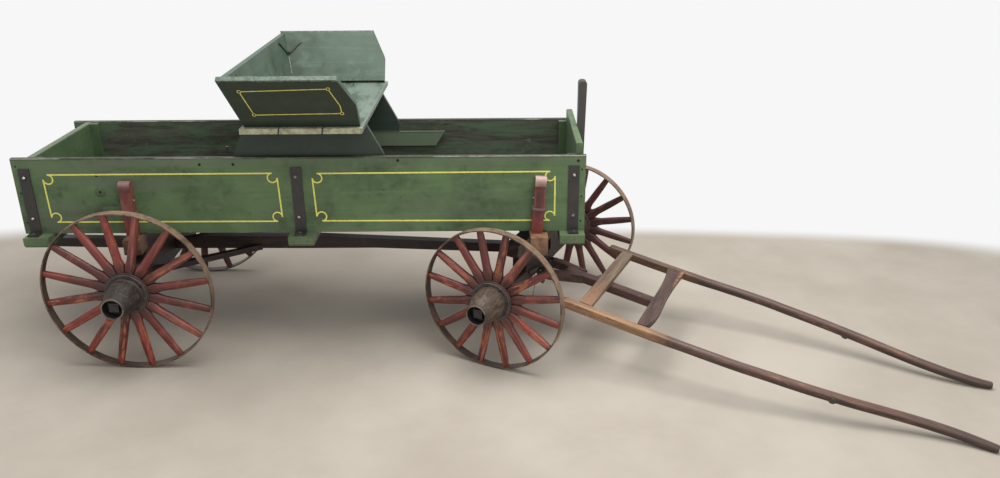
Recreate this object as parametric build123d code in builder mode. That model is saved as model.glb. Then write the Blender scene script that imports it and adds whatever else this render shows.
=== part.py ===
from build123d import *
import os
from math import asin, atan2, cos, degrees, hypot, radians, sin, tan

os.makedirs("parts", exist_ok=True)

# A child's farm wagon drawn by one goat between a pair of shafts. Sizes are in millimetres.
# While it is drawn, x runs forward from the rear axle, y to the wagon's left, z up from the floor.
# Pieces of the box and rear gear are drawn level and then raked nose up about the rear axle.
# Pieces of the front gear are drawn straight ahead and then turned to the parked steering angle.

# Running gear
rear_wheel_r = 254.0
front_wheel_r = 228.6
wheelbase = 1244.0
track = 722.0
rake_angle = 1.3
steer_angle = -24.6
seat_gap = 0.3
overrun = 20.0

# Wheels
tyre_w = 28.0
tyre_t = 4.5
tyre_edge = 1.0
spoke_count = 16
spoke_foot_w = 15.0
spoke_foot_t = 19.0
spoke_swell_w = 25.0
spoke_swell_t = 18.5
spoke_swell_share = 0.62
spoke_rim_w = 20.0
spoke_rim_t = 16.0
spoke_corner = 6.5
spoke_shoulder = 1.9
parked_turns = {"rear_right": 9.6, "rear_left": 4.0, "front_right": -10.2, "front_left": 8.8}
hub_core_r = 45.0
flange_r = 66.0
flange_t = 5.0
boss_r = 60.0
boss_t = 3.5
barrel_root_r = 54.0
barrel_neck_r = 34.0
barrel_bulge = 3.0
barrel_inner_r = 39.0
hub_outer_len = 121.0
hub_inner_len = 61.0
hub_band_t = 3.0
hub_band_w = 16.0
nut_recess_r = 25.0
nut_recess_deep = 25.0
arm_r = 14.0
arm_fit = 0.05
collar_r = 26.0
collar_w = 7.7
thread_r = 9.0
nut_side = 28.0
nut_t = 12.0

# Box
box_behind = 346.0
box_ahead = 130.0
box_half_w = 224.0
box_floor_z = 388.0
side_h = 241.0
board_t = 16.0
end_board_t = 20.0
tail_inset = 40.0
front_inset = 10.0
front_rise = 33.0
tail_drop = 2.0
edge_round = 3.0
floor_board_count = 3
floor_board_gap = 1.0
batten_w = 26.0
batten_t = 18.0
cleat_w = 76.0
cleat_t = 32.0
cleat_out = 41.0
cleat_inset = (48.0, 39.0)
cleat_middle_x = 508.0
cleat_bevel = 8.0
iron_w = 33.0
iron_t = 4.0
iron_top_z = 597.0
iron_foot = 30.0
iron_inset = (35.0, 36.0)
iron_middle_x = 504.0

# Post for the lines, on the front board
post_w = 38.0
post_top_t = 26.0
post_low_t = 19.0
post_top_z = 806.0
post_low_z = 470.0

# Seat
rail_z = 541.0
rail_h = 49.0
rail_x = (262.0, 927.0)
rail_slant = 32.0
riser_rear_x = 298.0
riser_front_x = 771.0
riser_rear_top_x = 361.0
riser_front_top_x = 720.0
riser_heel_h = 36.0
riser_round = 40.0
seat_z = 724.0
seat_board_t = 16.0
seat_rear_x = 376.0
seat_front_x = 726.0
seat_half_w = 315.0
seat_panel_t = 16.0
seat_end_inset = 18.0
seat_end_lean = 32.3
seat_back_lean = 13.1
seat_back_foot_x = 387.0
seat_panel_h = 155.0
seat_end_front_x = 718.0
seat_end_top_x = 677.0
seat_end_cheek_x = 707.0
seat_end_cheek_shares = (0.476, 0.611)

# Stakes and beams that carry the box
beam_w = 52.0
bolster_half = 285.0
stake_w = 34.0
stake_t = 25.0
stake_top_z = {"rear": 557.0, "front": 566.0}
stake_set = {"rear": -9.0, "front": -7.0}
stake_lean = {"rear": 0.0, "front": 4.0}
cap_t = 3.0
cap_drop = 26.0
ring_down = 101.0
ring_t = 4.0
ring_h = 6.0
ring_corner = 8.0
rear_bolster_z = 340.0
axle_bed_half = 292.0
axle_bed_low = 28.0
axle_shoulder_y = 240.0
axle_shoulder_z = 300.0
front_bolster_z = 331.0
front_bolster_set = 10.0

# Reach pole and rear hounds
reach_w = 32.0
reach_tail = 400.0
reach_tail_z = (260.0, 291.5)
reach_nose = 34.0
reach_rear_z = (250.0, 281.5)
reach_mid_x = 480.0
reach_mid_z = (247.0, 292.0)
reach_swell_x = 110.0
reach_bend_x = 700.0
reach_front_z = (222.0, 251.0)
hound_w = 30.0
hound_z = (243.0, 261.0)
hound_foot_y = 210.0
hound_join_x = 318.0

# Front gear
front_bed_low = 22.0
front_bed_high = 18.0
front_bed_w = 48.0
sand_board_z = (287.0, 358.0)
sand_board_half = 232.0
sand_board_foot = 165.0
spacer_y = (52.0, 160.0)
king_r = 7.0
king_head_r = 13.0
king_head_t = 8.0
king_top_z = 408.0
king_fit = 0.3
king_free = 1.6

# Shafts, drawn level from their hinge
hinge_ahead = 45.0
hinge_z = 199.0
hinge_r = 6.0
hinge_fit = 0.08
hinge_cheek_r = 12.0
hinge_cheek_t = 5.0
hinge_side_gap = 0.5
hinge_strap_t = 5.0
hinge_strap_back = 34.0
hinge_head_r = 9.0
hinge_head_t = 5.0
hound_y = 46.0
hound_len = 125.0
hound_bar = 28.0
hound_nose = 8.0
hound_straight = 22.0
tongue_w = 34.0
tongue_len = 425.0
tongue_back = 65.0
shaft_bar = 28.0
shaft_r = 15.0
shaft_tip_r = 12.0
shaft_tip_len = 66.0
shaft_taper_len = 40.0
shaft_rise = 31.0
shaft_rear = 132.0
shaft_square_end = 500.0
shaft_blend = 40.0
shaft_half = 236.0
heel_round = 8.0
blend_share = 0.6
tip_flat = 9.0
bend_share = 0.45
shaft_stations = (
    (700.0, 231.0, 31.0),
    (960.0, 205.0, 31.0),
    (1180.0, 186.0, 32.0),
    (1396.0, 181.0, 50.0),
)
crossbar_t = 20.0
crossbar_rear_x = 199.0
crossbar_rear_w = 40.0
crossbar_front_x = 386.0
crossbar_front_w = 38.0
crossbar_round = 4.0
crossbar_front_shares = (
    (-1.0, -0.42, 0.27),
    (-0.85, -0.45, 0.50),
    (0.0, -0.50, 0.50),
    (0.6, -0.66, 0.47),
    (1.0, -1.0, 0.58),
)

side_y = box_half_w - board_t
box_rear_x = -box_behind
box_front_x = wheelbase + box_ahead
box_len = box_front_x - box_rear_x
box_top_z = box_floor_z + side_h
tail_x = box_rear_x + tail_inset
front_x = box_front_x - front_inset
floor_top_z = box_floor_z + board_t
front_bolster_x = wheelbase - front_bolster_set
cleat_x = (box_rear_x + cleat_inset[0], cleat_middle_x, box_front_x - cleat_inset[1])
iron_x = (box_rear_x + iron_inset[0], iron_middle_x, box_front_x - iron_inset[1])
made = []


def keep(shape, label, *turns):
    """Turns a finished piece to its parked place, labels it and adds it to the wagon."""
    for axis, angle in turns:
        shape = shape.rotate(axis, angle)
    shape.label = label
    made.append(shape)


def before_rake(x, z):
    """The x at which a point at height z is drawn, so that raking brings it to x."""
    lean = radians(rake_angle)
    return (x + (z - rear_wheel_r) * sin(lean)) / cos(lean)


rake = (Axis((0, 0, rear_wheel_r), (0, 1, 0)), -rake_angle)
steer = (Axis((wheelbase, 0, 0), (0, 0, 1)), steer_angle)
sides = {"right": -1, "left": 1}


# Wheels, drawn about the y axis with +y outward

def make_tyre(radius):
    """A flat iron hoop with softened edges."""
    with BuildPart() as tyre:
        with BuildSketch(Plane.XY):
            with Locations((radius - tyre_t / 2, 0)):
                Rectangle(tyre_t, tyre_w)
            chamfer(vertices().sort_by(Axis.X)[-2:], tyre_edge)
        revolve(axis=Axis.Y)
    return tyre.part


def spoke_outline(width, thick):
    """A spoke's section: a rectangle whose corners are worn off in two cuts each."""
    x = width / 2
    y = thick / 2
    quarter = [(x, y - spoke_corner), (x - spoke_shoulder, y - spoke_shoulder), (x - spoke_corner, y)]
    half = quarter + [(-a, b) for a, b in reversed(quarter)]
    return half + [(a, -b) for a, b in reversed(half)]


def make_spokes(radius):
    """Sixteen rounded wooden spokes, slim at the hub and full two thirds of the way out."""
    foot_r = hub_core_r + seat_gap
    rim_r = radius - tyre_t - seat_gap
    rim_flat = (rim_r ** 2 - (spoke_rim_w / 2) ** 2) ** 0.5
    swell_r = foot_r + spoke_swell_share * (rim_flat - foot_r)
    stations = (
        (foot_r, spoke_foot_w, spoke_foot_t),
        (swell_r, spoke_swell_w, spoke_swell_t),
        (rim_flat, spoke_rim_w, spoke_rim_t),
    )
    with BuildPart() as spoke:
        for out_r, width, thick in stations:
            with BuildSketch(Plane.XY.offset(out_r)):
                Polygon(*spoke_outline(width, thick), align=None)
        loft(ruled=True)
    with BuildPart() as spokes:
        for number in range(spoke_count):
            add(spoke.part.rotate(Axis.Y, number * 360 / spoke_count))
    return spokes.part


def make_hub():
    """The wooden nave: flanges, boss, bellied barrel, end band, bore and the axle nut's hollow."""
    cheek = spoke_foot_t / 2 + seat_gap
    outer = hub_outer_len
    inner = -hub_inner_len
    boss_y = cheek + flange_t + boss_t
    neck_y = outer - hub_band_w
    middle_r = (barrel_root_r + barrel_neck_r) / 2 + barrel_bulge
    middle_y = (boss_y + neck_y) / 2
    with BuildPart() as hub:
        with BuildSketch(Plane.XY):
            with BuildLine():
                Polyline(
                    (boss_r, cheek + flange_t),
                    (boss_r, boss_y),
                    (barrel_root_r, boss_y),
                )
                ThreePointArc((barrel_root_r, boss_y), (middle_r, middle_y), (barrel_neck_r, neck_y))
                Polyline(
                    (barrel_neck_r, neck_y),
                    (barrel_neck_r + hub_band_t, neck_y),
                    (barrel_neck_r + hub_band_t, outer),
                    (nut_recess_r, outer),
                    (nut_recess_r, outer - nut_recess_deep),
                    (arm_r + arm_fit, outer - nut_recess_deep),
                    (arm_r + arm_fit, inner),
                    (barrel_inner_r, inner),
                    (barrel_root_r, -cheek - flange_t),
                    (flange_r, -cheek - flange_t),
                    (flange_r, -cheek),
                    (hub_core_r, -cheek),
                    (hub_core_r, cheek),
                    (flange_r, cheek),
                    (flange_r, cheek + flange_t),
                    (boss_r, cheek + flange_t),
                )
            make_face()
        revolve(axis=Axis.Y)
    return hub.part


def make_axle_arm():
    """The iron arm that a wheel runs on, with its collar and threaded end, about +y from the bed."""
    start = axle_bed_half - track / 2
    collar_end = start + collar_w
    face = hub_outer_len - nut_recess_deep
    with BuildPart() as arm:
        with BuildSketch(Plane.XY):
            with BuildLine():
                Polyline(
                    (0, start),
                    (collar_r, start),
                    (collar_r, collar_end),
                    (arm_r, collar_end),
                    (arm_r, face),
                    (thread_r, face),
                    (thread_r, face + nut_t + seat_gap + tyre_edge),
                    (0, face + nut_t + seat_gap + tyre_edge),
                    close=True,
                )
            make_face()
        revolve(axis=Axis.Y)
    return arm.part


def make_nut():
    """The square nut in the hub's hollow."""
    face = hub_outer_len - nut_recess_deep + seat_gap
    with BuildPart() as nut:
        with BuildSketch(Plane.XZ.offset(-face)):
            Rectangle(nut_side, nut_side)
            Circle(thread_r + arm_fit, mode=Mode.SUBTRACT)
        extrude(amount=-nut_t)
    return nut.part


def at_wheel(shape, x, z, side):
    """Sets a piece that was drawn about the y axis out at one end of an axle."""
    turned = shape.rotate(Axis.Z, 0 if side > 0 else 180)
    return turned.moved(Location((x, side * track / 2, z)))


hub_part = make_hub()
arm_part = make_axle_arm()
nut_part = make_nut()
axles = (
    ("rear", 0, rear_wheel_r, ()),
    ("front", wheelbase, front_wheel_r, (steer,)),
)
for end, axle_x, radius, turns in axles:
    tyre_part = make_tyre(radius)
    spokes_part = make_spokes(radius)
    for side_name, side in sides.items():
        keep(at_wheel(tyre_part, axle_x, radius, side), f"{end}_{side_name}_tyre", *turns)
        turned = spokes_part.rotate(Axis.Y, parked_turns[f"{end}_{side_name}"])
        keep(at_wheel(turned, axle_x, radius, side), f"{end}_{side_name}_spokes", *turns)
        keep(at_wheel(hub_part, axle_x, radius, side), f"{end}_{side_name}_hub", *turns)
    for label, shape in (("axle_arms", arm_part), ("axle_nuts", nut_part)):
        with BuildPart() as pair:
            for side in sides.values():
                add(at_wheel(shape, axle_x, radius, side))
        keep(pair.part, f"{end}_{label}", *turns)


# Box

with BuildPart() as side_board:
    with BuildSketch(Plane.XZ):
        with Locations((box_rear_x, box_floor_z)):
            Rectangle(box_len, side_h, align=(Align.MIN, Align.MIN))
    extrude(amount=board_t)
    fillet(side_board.edges().group_by(Axis.Z)[-1].filter_by(Axis.X), edge_round)
for side_name, side in sides.items():
    shift = Location((0, side * (side_y + board_t / 2) + board_t / 2, 0))
    keep(side_board.part.moved(shift), f"side_board_{side_name}", rake)

with BuildPart() as front_board:
    with BuildSketch(Plane.YZ.offset(front_x - end_board_t)):
        with Locations((0, box_floor_z)):
            Rectangle(2 * side_y, side_h + front_rise, align=(Align.CENTER, Align.MIN))
    extrude(amount=end_board_t)
    fillet(front_board.edges().group_by(Axis.Z)[-1].filter_by(Axis.Y), edge_round)
keep(front_board.part, "front_board", rake)

with BuildPart() as tail_board:
    with BuildSketch(Plane.YZ.offset(tail_x)):
        with Locations((0, box_floor_z)):
            Rectangle(2 * side_y, side_h - tail_drop, align=(Align.CENTER, Align.MIN))
    extrude(amount=end_board_t)
    fillet(tail_board.edges().group_by(Axis.Z)[-1].filter_by(Axis.Y), edge_round)
keep(tail_board.part, "tail_board", rake)

floor_from_x = tail_x + end_board_t
floor_to_x = front_x - end_board_t
floor_board_w = (2 * side_y - (floor_board_count - 1) * floor_board_gap) / floor_board_count
with BuildPart() as floor_boards:
    with BuildSketch(Plane.XY.offset(box_floor_z)):
        with Locations(((floor_from_x + floor_to_x) / 2, 0)):
            with GridLocations(1, floor_board_w + floor_board_gap, 1, floor_board_count):
                Rectangle(floor_to_x - floor_from_x, floor_board_w)
    extrude(amount=board_t)
keep(floor_boards.part, "floor_boards", rake)

with BuildPart() as corner_battens:
    with BuildSketch(Plane.XY.offset(floor_top_z)):
        for x in (floor_from_x + batten_w / 2, floor_to_x - batten_w / 2):
            for side in sides.values():
                with Locations((x, side * (side_y - batten_t / 2))):
                    Rectangle(batten_w, batten_t)
    extrude(amount=box_top_z - floor_top_z - tail_drop - edge_round)
keep(corner_battens.part, "corner_battens", rake)

cleat_half = box_half_w + cleat_out
with BuildPart() as cross_cleats:
    with BuildSketch(Plane.YZ):
        with BuildLine():
            Polyline(
                (-cleat_half, box_floor_z),
                (cleat_half, box_floor_z),
                (cleat_half, box_floor_z - cleat_t + cleat_bevel),
                (cleat_half - cleat_bevel, box_floor_z - cleat_t),
                (cleat_bevel - cleat_half, box_floor_z - cleat_t),
                (-cleat_half, box_floor_z - cleat_t + cleat_bevel),
                close=True,
            )
        make_face()
    extrude(amount=cleat_w / 2, both=True)
with BuildPart() as cleat_set:
    for x in cleat_x:
        add(cross_cleats.part.moved(Location((x, 0, 0))))
keep(cleat_set.part, "cross_cleats", rake)

with BuildPart() as side_iron:
    with BuildSketch(Plane.YZ):
        with BuildLine():
            Polyline(
                (0, box_floor_z),
                (0, iron_top_z),
                (iron_t, iron_top_z),
                (iron_t, box_floor_z + iron_t),
                (iron_foot, box_floor_z + iron_t),
                (iron_foot, box_floor_z),
                close=True,
            )
        make_face()
    extrude(amount=iron_w / 2, both=True)
for side_name, side in sides.items():
    with BuildPart() as side_irons:
        for x in iron_x:
            iron = side_iron.part.rotate(Axis.Z, 0 if side > 0 else 180)
            add(iron.moved(Location((x, side * box_half_w, 0))))
    keep(side_irons.part, f"side_irons_{side_name}", rake)

with BuildPart() as line_post:
    with BuildSketch(Plane.XZ):
        with BuildLine():
            Polyline(
                (front_x, post_low_z),
                (front_x, post_top_z),
                (front_x + post_top_t, post_top_z),
                (front_x + post_low_t, post_low_z),
                close=True,
            )
        make_face()
    extrude(amount=post_w / 2, both=True)
    fillet(line_post.edges().group_by(Axis.Z)[-1].filter_by(Axis.Y), post_top_t / 2 - edge_round)
keep(line_post.part, "line_post", rake)


# Seat, which stands on rails inside the box

with BuildPart() as seat_rail:
    with BuildSketch(Plane.XZ):
        with BuildLine():
            Polyline(
                (rail_x[0], rail_z + rail_h),
                (rail_x[1], rail_z + rail_h),
                (rail_x[1] - rail_slant, rail_z),
                (rail_x[0] + rail_slant, rail_z),
                close=True,
            )
        make_face()
    extrude(amount=board_t)
with BuildPart() as seat_riser:
    with BuildSketch(Plane.XZ):
        with BuildLine():
            Polyline(
                (riser_rear_x, rail_z + rail_h),
                (riser_front_x, rail_z + rail_h),
                (riser_front_x, rail_z + rail_h + riser_heel_h),
                (riser_front_top_x, seat_z),
                (riser_rear_top_x, seat_z),
                close=True,
            )
        make_face()
        heel = vertices().sort_by(Axis.X)[-2:].sort_by(Axis.Y)[-1]
        fillet(heel, riser_round)
    extrude(amount=board_t)
for side_name, side in sides.items():
    shift = Location((0, side * (side_y - board_t / 2) + board_t / 2, 0))
    keep(seat_rail.part.moved(shift), f"seat_rail_{side_name}", rake)
    keep(seat_riser.part.moved(shift), f"seat_riser_{side_name}", rake)

with BuildPart() as seat_board:
    with BuildSketch(Plane.XY.offset(seat_z)):
        with Locations(((seat_rear_x + seat_front_x) / 2, 0)):
            Rectangle(seat_front_x - seat_rear_x, 2 * seat_half_w)
    extrude(amount=seat_board_t)
    fillet(seat_board.edges().group_by(Axis.X)[-1].filter_by(Axis.Y), edge_round)
keep(seat_board.part, "seat_board", rake)

seat_top_z = seat_z + seat_board_t
seat_end_foot_y = seat_half_w - seat_end_inset
end_slope_len = seat_panel_h / cos(radians(seat_end_lean))
back_shift = seat_panel_h * tan(radians(seat_back_lean))
with BuildPart() as seat_end:
    with BuildSketch(Plane.XZ):
        with BuildLine():
            Polyline(
                (seat_back_foot_x, 0),
                (seat_end_front_x, 0),
                (seat_end_front_x, end_slope_len * seat_end_cheek_shares[0]),
                (seat_end_cheek_x, end_slope_len * seat_end_cheek_shares[1]),
                (seat_end_top_x, end_slope_len),
                (seat_back_foot_x - back_shift, end_slope_len),
                close=True,
            )
        make_face()
        fillet(vertices().sort_by(Axis.X)[-2:].sort_by(Axis.Y)[-1], riser_round)
    extrude(amount=seat_panel_t)
for side_name, side in sides.items():
    leaned = seat_end.part.moved(Location((0, 0 if side > 0 else seat_panel_t, 0)))
    leaned = leaned.rotate(Axis.X, -side * seat_end_lean)
    foot = Location((0, side * seat_end_foot_y, seat_top_z))
    with BuildPart() as seat_end_panel:
        add(leaned.moved(foot))
        split(bisect_by=Plane((0, 0, seat_top_z), z_dir=(0, 0, 1)), keep=Keep.TOP)
    keep(seat_end_panel.part, f"seat_end_{side_name}", rake)

inner_foot_y = seat_end_foot_y - seat_panel_t / cos(radians(seat_end_lean))
inner_top_y = inner_foot_y + seat_panel_h * tan(radians(seat_end_lean))
back_thick_x = seat_panel_t / cos(radians(seat_back_lean))
with BuildPart() as seat_back:
    with BuildSketch(Plane.XZ):
        with BuildLine():
            Polyline(
                (seat_back_foot_x, seat_top_z),
                (seat_back_foot_x + back_thick_x, seat_top_z),
                (seat_back_foot_x + back_thick_x - back_shift, seat_top_z + seat_panel_h),
                (seat_back_foot_x - back_shift, seat_top_z + seat_panel_h),
                close=True,
            )
        make_face()
    extrude(amount=inner_top_y + overrun, both=True)
    with BuildSketch(Plane.YZ):
        with BuildLine():
            Polyline(
                (-inner_foot_y, seat_top_z),
                (inner_foot_y, seat_top_z),
                (inner_top_y, seat_top_z + seat_panel_h),
                (-inner_top_y, seat_top_z + seat_panel_h),
                close=True,
            )
        make_face()
    extrude(amount=seat_front_x, mode=Mode.INTERSECT)
keep(seat_back.part, "seat_back", rake)


# Bolsters and stakes that carry the box, and the rear gear

def stake_outline(height, grow):
    """A stake's upright with its round top, seen along the wagon and grown all round."""
    with BuildSketch() as outline:
        with Locations((stake_t / 2, -overrun)):
            Rectangle(stake_t + 2 * grow, overrun + height + grow, align=(Align.CENTER, Align.MIN))
        fillet(vertices().group_by(Axis.Y)[-1], stake_t / 2 - tyre_edge + grow)
    return outline.sketch


def make_stake(top_z):
    """One upright, drawn from the box's floor line with +y outward."""
    with BuildPart() as stake:
        with BuildSketch(Plane.YZ):
            add(stake_outline(top_z - box_floor_z, 0))
        extrude(amount=stake_w / 2, both=True)
    return stake.part


def make_stake_irons(top_z):
    """The strap bent over an upright's top, and the flat staple that holds it to the box."""
    height = top_z - box_floor_z
    reach_y = stake_t + seat_gap
    with BuildPart() as irons:
        with BuildSketch(Plane.YZ):
            add(stake_outline(height, seat_gap + cap_t))
            add(stake_outline(height, seat_gap), mode=Mode.SUBTRACT)
            with Locations((0, height - cap_drop)):
                Rectangle(2 * stake_t + overrun, height + overrun, align=(Align.CENTER, Align.MAX),
                          mode=Mode.SUBTRACT)
            Rectangle(overrun, height + overrun, align=(Align.MAX, Align.MIN), mode=Mode.SUBTRACT)
        extrude(amount=stake_w / 2, both=True)
        with BuildSketch(Plane.XY.offset(height - ring_down)):
            Rectangle(stake_w + 2 * (seat_gap + ring_t), reach_y + ring_t, align=(Align.CENTER, Align.MIN))
            fillet(vertices().group_by(Axis.Y)[-1], ring_corner)
            Rectangle(stake_w + 2 * seat_gap, reach_y, align=(Align.CENTER, Align.MIN), mode=Mode.SUBTRACT)
        extrude(amount=ring_h)
    return irons.part


def at_stakes(shape, end, beam_x):
    """Leans a piece of an upright forward, cuts it at the bolster and sets it on both sides."""
    leaned = shape.rotate(Axis.Y, stake_lean[end])
    with BuildPart() as pair:
        for side in sides.values():
            foot = Location((side * (beam_x + stake_set[end]), box_half_w + seat_gap, box_floor_z))
            piece = leaned if side > 0 else mirror(leaned, about=Plane.YZ)
            add(piece.moved(foot).rotate(Axis.Z, 0 if side > 0 else 180))
        split(bisect_by=Plane((0, 0, box_floor_z), z_dir=(0, 0, 1)), keep=Keep.TOP)
    return pair.part


iron_pairs = []
for end, beam_x, low_z in (("rear", 0, rear_bolster_z), ("front", front_bolster_x, front_bolster_z)):
    with BuildPart() as bolster:
        with BuildSketch(Plane.XY.offset(low_z)):
            with Locations((beam_x, 0)):
                Rectangle(beam_w, 2 * bolster_half)
        extrude(amount=box_floor_z - low_z)
        if end == "front":
            with Locations((before_rake(wheelbase, (low_z + box_floor_z) / 2), 0, box_floor_z)):
                Hole(king_r + king_free)
    keep(bolster.part, f"{end}_bolster", rake)
    stake_pair = at_stakes(make_stake(stake_top_z[end]), end, beam_x)
    keep(stake_pair, f"{end}_stakes", rake)
    iron_pairs.append(at_stakes(make_stake_irons(stake_top_z[end]), end, beam_x))
with BuildPart() as stake_irons:
    for pair in iron_pairs:
        add(pair)
keep(stake_irons.part, "stake_irons", rake)

with BuildPart() as rear_axle_bed:
    with BuildSketch(Plane.YZ):
        with BuildLine():
            Polyline(
                (-axle_bed_half, rear_wheel_r - axle_bed_low),
                (axle_bed_half, rear_wheel_r - axle_bed_low),
                (axle_bed_half, axle_shoulder_z),
                (axle_shoulder_y, rear_bolster_z),
                (-axle_shoulder_y, rear_bolster_z),
                (-axle_bed_half, axle_shoulder_z),
                close=True,
            )
        make_face()
    extrude(amount=beam_w / 2, both=True)
    with BuildSketch(Plane.YZ):
        with Locations((0, reach_rear_z[0] - seat_gap)):
            Rectangle(reach_w + 2 * seat_gap, reach_rear_z[1] - reach_rear_z[0] + 2 * seat_gap,
                      align=(Align.CENTER, Align.MIN))
    extrude(amount=beam_w, both=True, mode=Mode.SUBTRACT)
keep(rear_axle_bed.part, "rear_axle_bed", rake)

with BuildPart() as reach:
    with BuildSketch(Plane.XZ):
        with BuildLine():
            Polyline(
                (-reach_tail, reach_tail_z[0]),
                (-beam_w, reach_rear_z[0]),
                (beam_w, reach_rear_z[0]),
                (reach_mid_x, reach_mid_z[0]),
                (reach_bend_x, reach_mid_z[0]),
                (wheelbase + reach_nose, reach_front_z[0]),
                (wheelbase + reach_nose, reach_front_z[1]),
                (reach_mid_x, reach_mid_z[1]),
                (reach_swell_x, reach_mid_z[1]),
                (beam_w, reach_rear_z[1]),
                (-beam_w, reach_rear_z[1]),
                (-reach_tail, reach_tail_z[1]),
                close=True,
            )
        make_face()
    extrude(amount=reach_w / 2, both=True)
    with Locations((before_rake(wheelbase, sum(reach_front_z) / 2), 0, reach_mid_z[1])):
        Hole(king_r + king_free)
keep(reach.part, "reach", rake)

with BuildPart() as rear_hounds:
    with BuildSketch(Plane.XY.offset(hound_z[0])):
        for side in sides.values():
            with BuildLine():
                Polyline(
                    (beam_w / 2, side * hound_foot_y),
                    (beam_w / 2, side * (hound_foot_y - hound_w)),
                    (hound_join_x - hound_w, side * (reach_w / 2 + seat_gap)),
                    (hound_join_x, side * (reach_w / 2 + seat_gap)),
                    close=True,
                )
            make_face()
    extrude(amount=hound_z[1] - hound_z[0])
keep(rear_hounds.part, "rear_hounds", rake)


# Front gear, drawn straight ahead

bed_z = (front_wheel_r - front_bed_low, front_wheel_r + front_bed_high)
with BuildPart() as front_axle_bed:
    with BuildSketch(Plane.XY.offset(bed_z[0])):
        with Locations((wheelbase, 0)):
            Rectangle(front_bed_w, 2 * axle_bed_half)
            Circle(king_r + king_fit, mode=Mode.SUBTRACT)
    extrude(amount=bed_z[1] - bed_z[0])
keep(front_axle_bed.part, "front_axle_bed", steer)

with BuildPart() as bed_spacers:
    with BuildSketch(Plane.XY.offset(bed_z[1])):
        for side in sides.values():
            with Locations((wheelbase, side * (spacer_y[0] + spacer_y[1]) / 2)):
                Rectangle(front_bed_w, spacer_y[1] - spacer_y[0])
    extrude(amount=sand_board_z[0] - bed_z[1])
keep(bed_spacers.part, "bed_spacers", steer)

with BuildPart() as sand_board:
    with BuildSketch(Plane.YZ.offset(wheelbase)):
        with BuildLine():
            Polyline(
                (-sand_board_foot, sand_board_z[0]),
                (sand_board_foot, sand_board_z[0]),
                (sand_board_half, (sand_board_z[0] + sand_board_z[1]) / 2),
                (sand_board_half, sand_board_z[1]),
                (-sand_board_half, sand_board_z[1]),
                (-sand_board_half, (sand_board_z[0] + sand_board_z[1]) / 2),
                close=True,
            )
        make_face()
    extrude(amount=front_bed_w / 2, both=True)
    with Locations((wheelbase, 0, sand_board_z[1])):
        Hole(king_r + king_fit)
keep(sand_board.part, "sand_board", steer)

with BuildPart() as king_bolt:
    with BuildSketch(Plane.XY.offset(bed_z[0] - king_head_t)):
        with Locations((wheelbase, 0)):
            Circle(king_head_r)
    extrude(amount=king_head_t)
    with BuildSketch(Plane.XY.offset(bed_z[0])):
        with Locations((wheelbase, 0)):
            Circle(king_r)
    extrude(amount=king_top_z - bed_z[0])
keep(king_bolt.part, "king_bolt", steer)


# Shafts, drawn level about their hinge and then let down until the tips lie on the floor

hinge_x = wheelbase + hinge_ahead
shaft_starts = (shaft_square_end - 2 * shaft_blend, shaft_square_end)
shaft_route = tuple((x, shaft_half, shaft_rise) for x in shaft_starts) + shaft_stations
bend_x, _, bend_z = shaft_stations[-2]
tip_x, _, tip_z = shaft_stations[-1]
tip_pitch = atan2(tip_z - bend_z, tip_x - bend_x)
tip_round = shaft_tip_r - tip_flat
tip_point = Vector(*shaft_stations[-1])
tip_way = (tip_point - Vector(*shaft_stations[-2])).normalized()
waist_point = tip_point - tip_way * shaft_tip_len
neck_point = waist_point - tip_way * shaft_taper_len
touch_x = tip_x - tip_round * cos(tip_pitch) + tip_flat * sin(tip_pitch)
touch_z = tip_z - tip_round * sin(tip_pitch) - tip_flat * cos(tip_pitch)
droop = degrees(asin((hinge_z - tip_round) / hypot(touch_x, touch_z)) + atan2(touch_z, touch_x))
lower = (Axis((hinge_x, 0, hinge_z), (0, 1, 0)), droop)


def from_hinge(shape):
    """Moves a piece that was drawn from the hinge's middle out to the hinge."""
    return shape.moved(Location((hinge_x, 0, hinge_z)))


def arc_radii(points):
    """The largest arc that suits each corner of a route."""
    radii = []
    for before, corner, after in zip(points, points[1:], points[2:]):
        run_in = Vector(*corner) - Vector(*before)
        run_out = Vector(*after) - Vector(*corner)
        turn = radians(run_in.get_angle(run_out))
        radii.append(bend_share * min(run_in.length, run_out.length) / tan(turn / 2))
    return radii


with BuildPart() as shaft_heel:
    with BuildSketch(Plane.YZ.offset(shaft_rear)):
        with Locations((shaft_half, shaft_rise)):
            Rectangle(shaft_bar, shaft_bar)
    extrude(amount=shaft_square_end - shaft_blend - shaft_rear)
    fillet(shaft_heel.faces().sort_by(Axis.X)[0].edges().filter_by(Axis.Y).sort_by(Axis.Z)[-1], heel_round)
    with BuildSketch(Plane.YZ.offset(shaft_square_end - shaft_blend)):
        with Locations((shaft_half, shaft_rise)):
            Rectangle(shaft_bar, shaft_bar)
    with BuildSketch(Plane.YZ.offset(shaft_square_end)):
        with Locations((shaft_half, shaft_rise)):
            Rectangle(shaft_bar * blend_share, shaft_bar * blend_share)
    loft(ruled=True)
with BuildPart() as shaft_pole:
    with BuildLine() as route:
        FilletPolyline(*shaft_route[:-1], neck_point, radius=arc_radii(shaft_route))
    with BuildSketch(Plane(origin=shaft_route[0], z_dir=route.line % 0)):
        Circle(shaft_r)
    sweep(path=route.line)
    with BuildSketch(Plane(origin=neck_point, z_dir=tip_way)):
        Circle(shaft_r)
    with BuildSketch(Plane(origin=waist_point, z_dir=tip_way)):
        Circle(shaft_tip_r)
    loft(ruled=True)
    with BuildSketch(Plane(origin=waist_point, z_dir=tip_way)):
        Circle(shaft_tip_r)
    extrude(amount=shaft_tip_len)
    tip_edge = shaft_pole.faces().sort_by(Axis.X)[-1].edges()
    fillet(tip_edge, tip_round)
with BuildPart() as whole_shaft:
    add(shaft_heel.part)
    add(shaft_pole.part)
shaft_pair = {"left": whole_shaft.part, "right": mirror(whole_shaft.part, about=Plane.XZ)}
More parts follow.
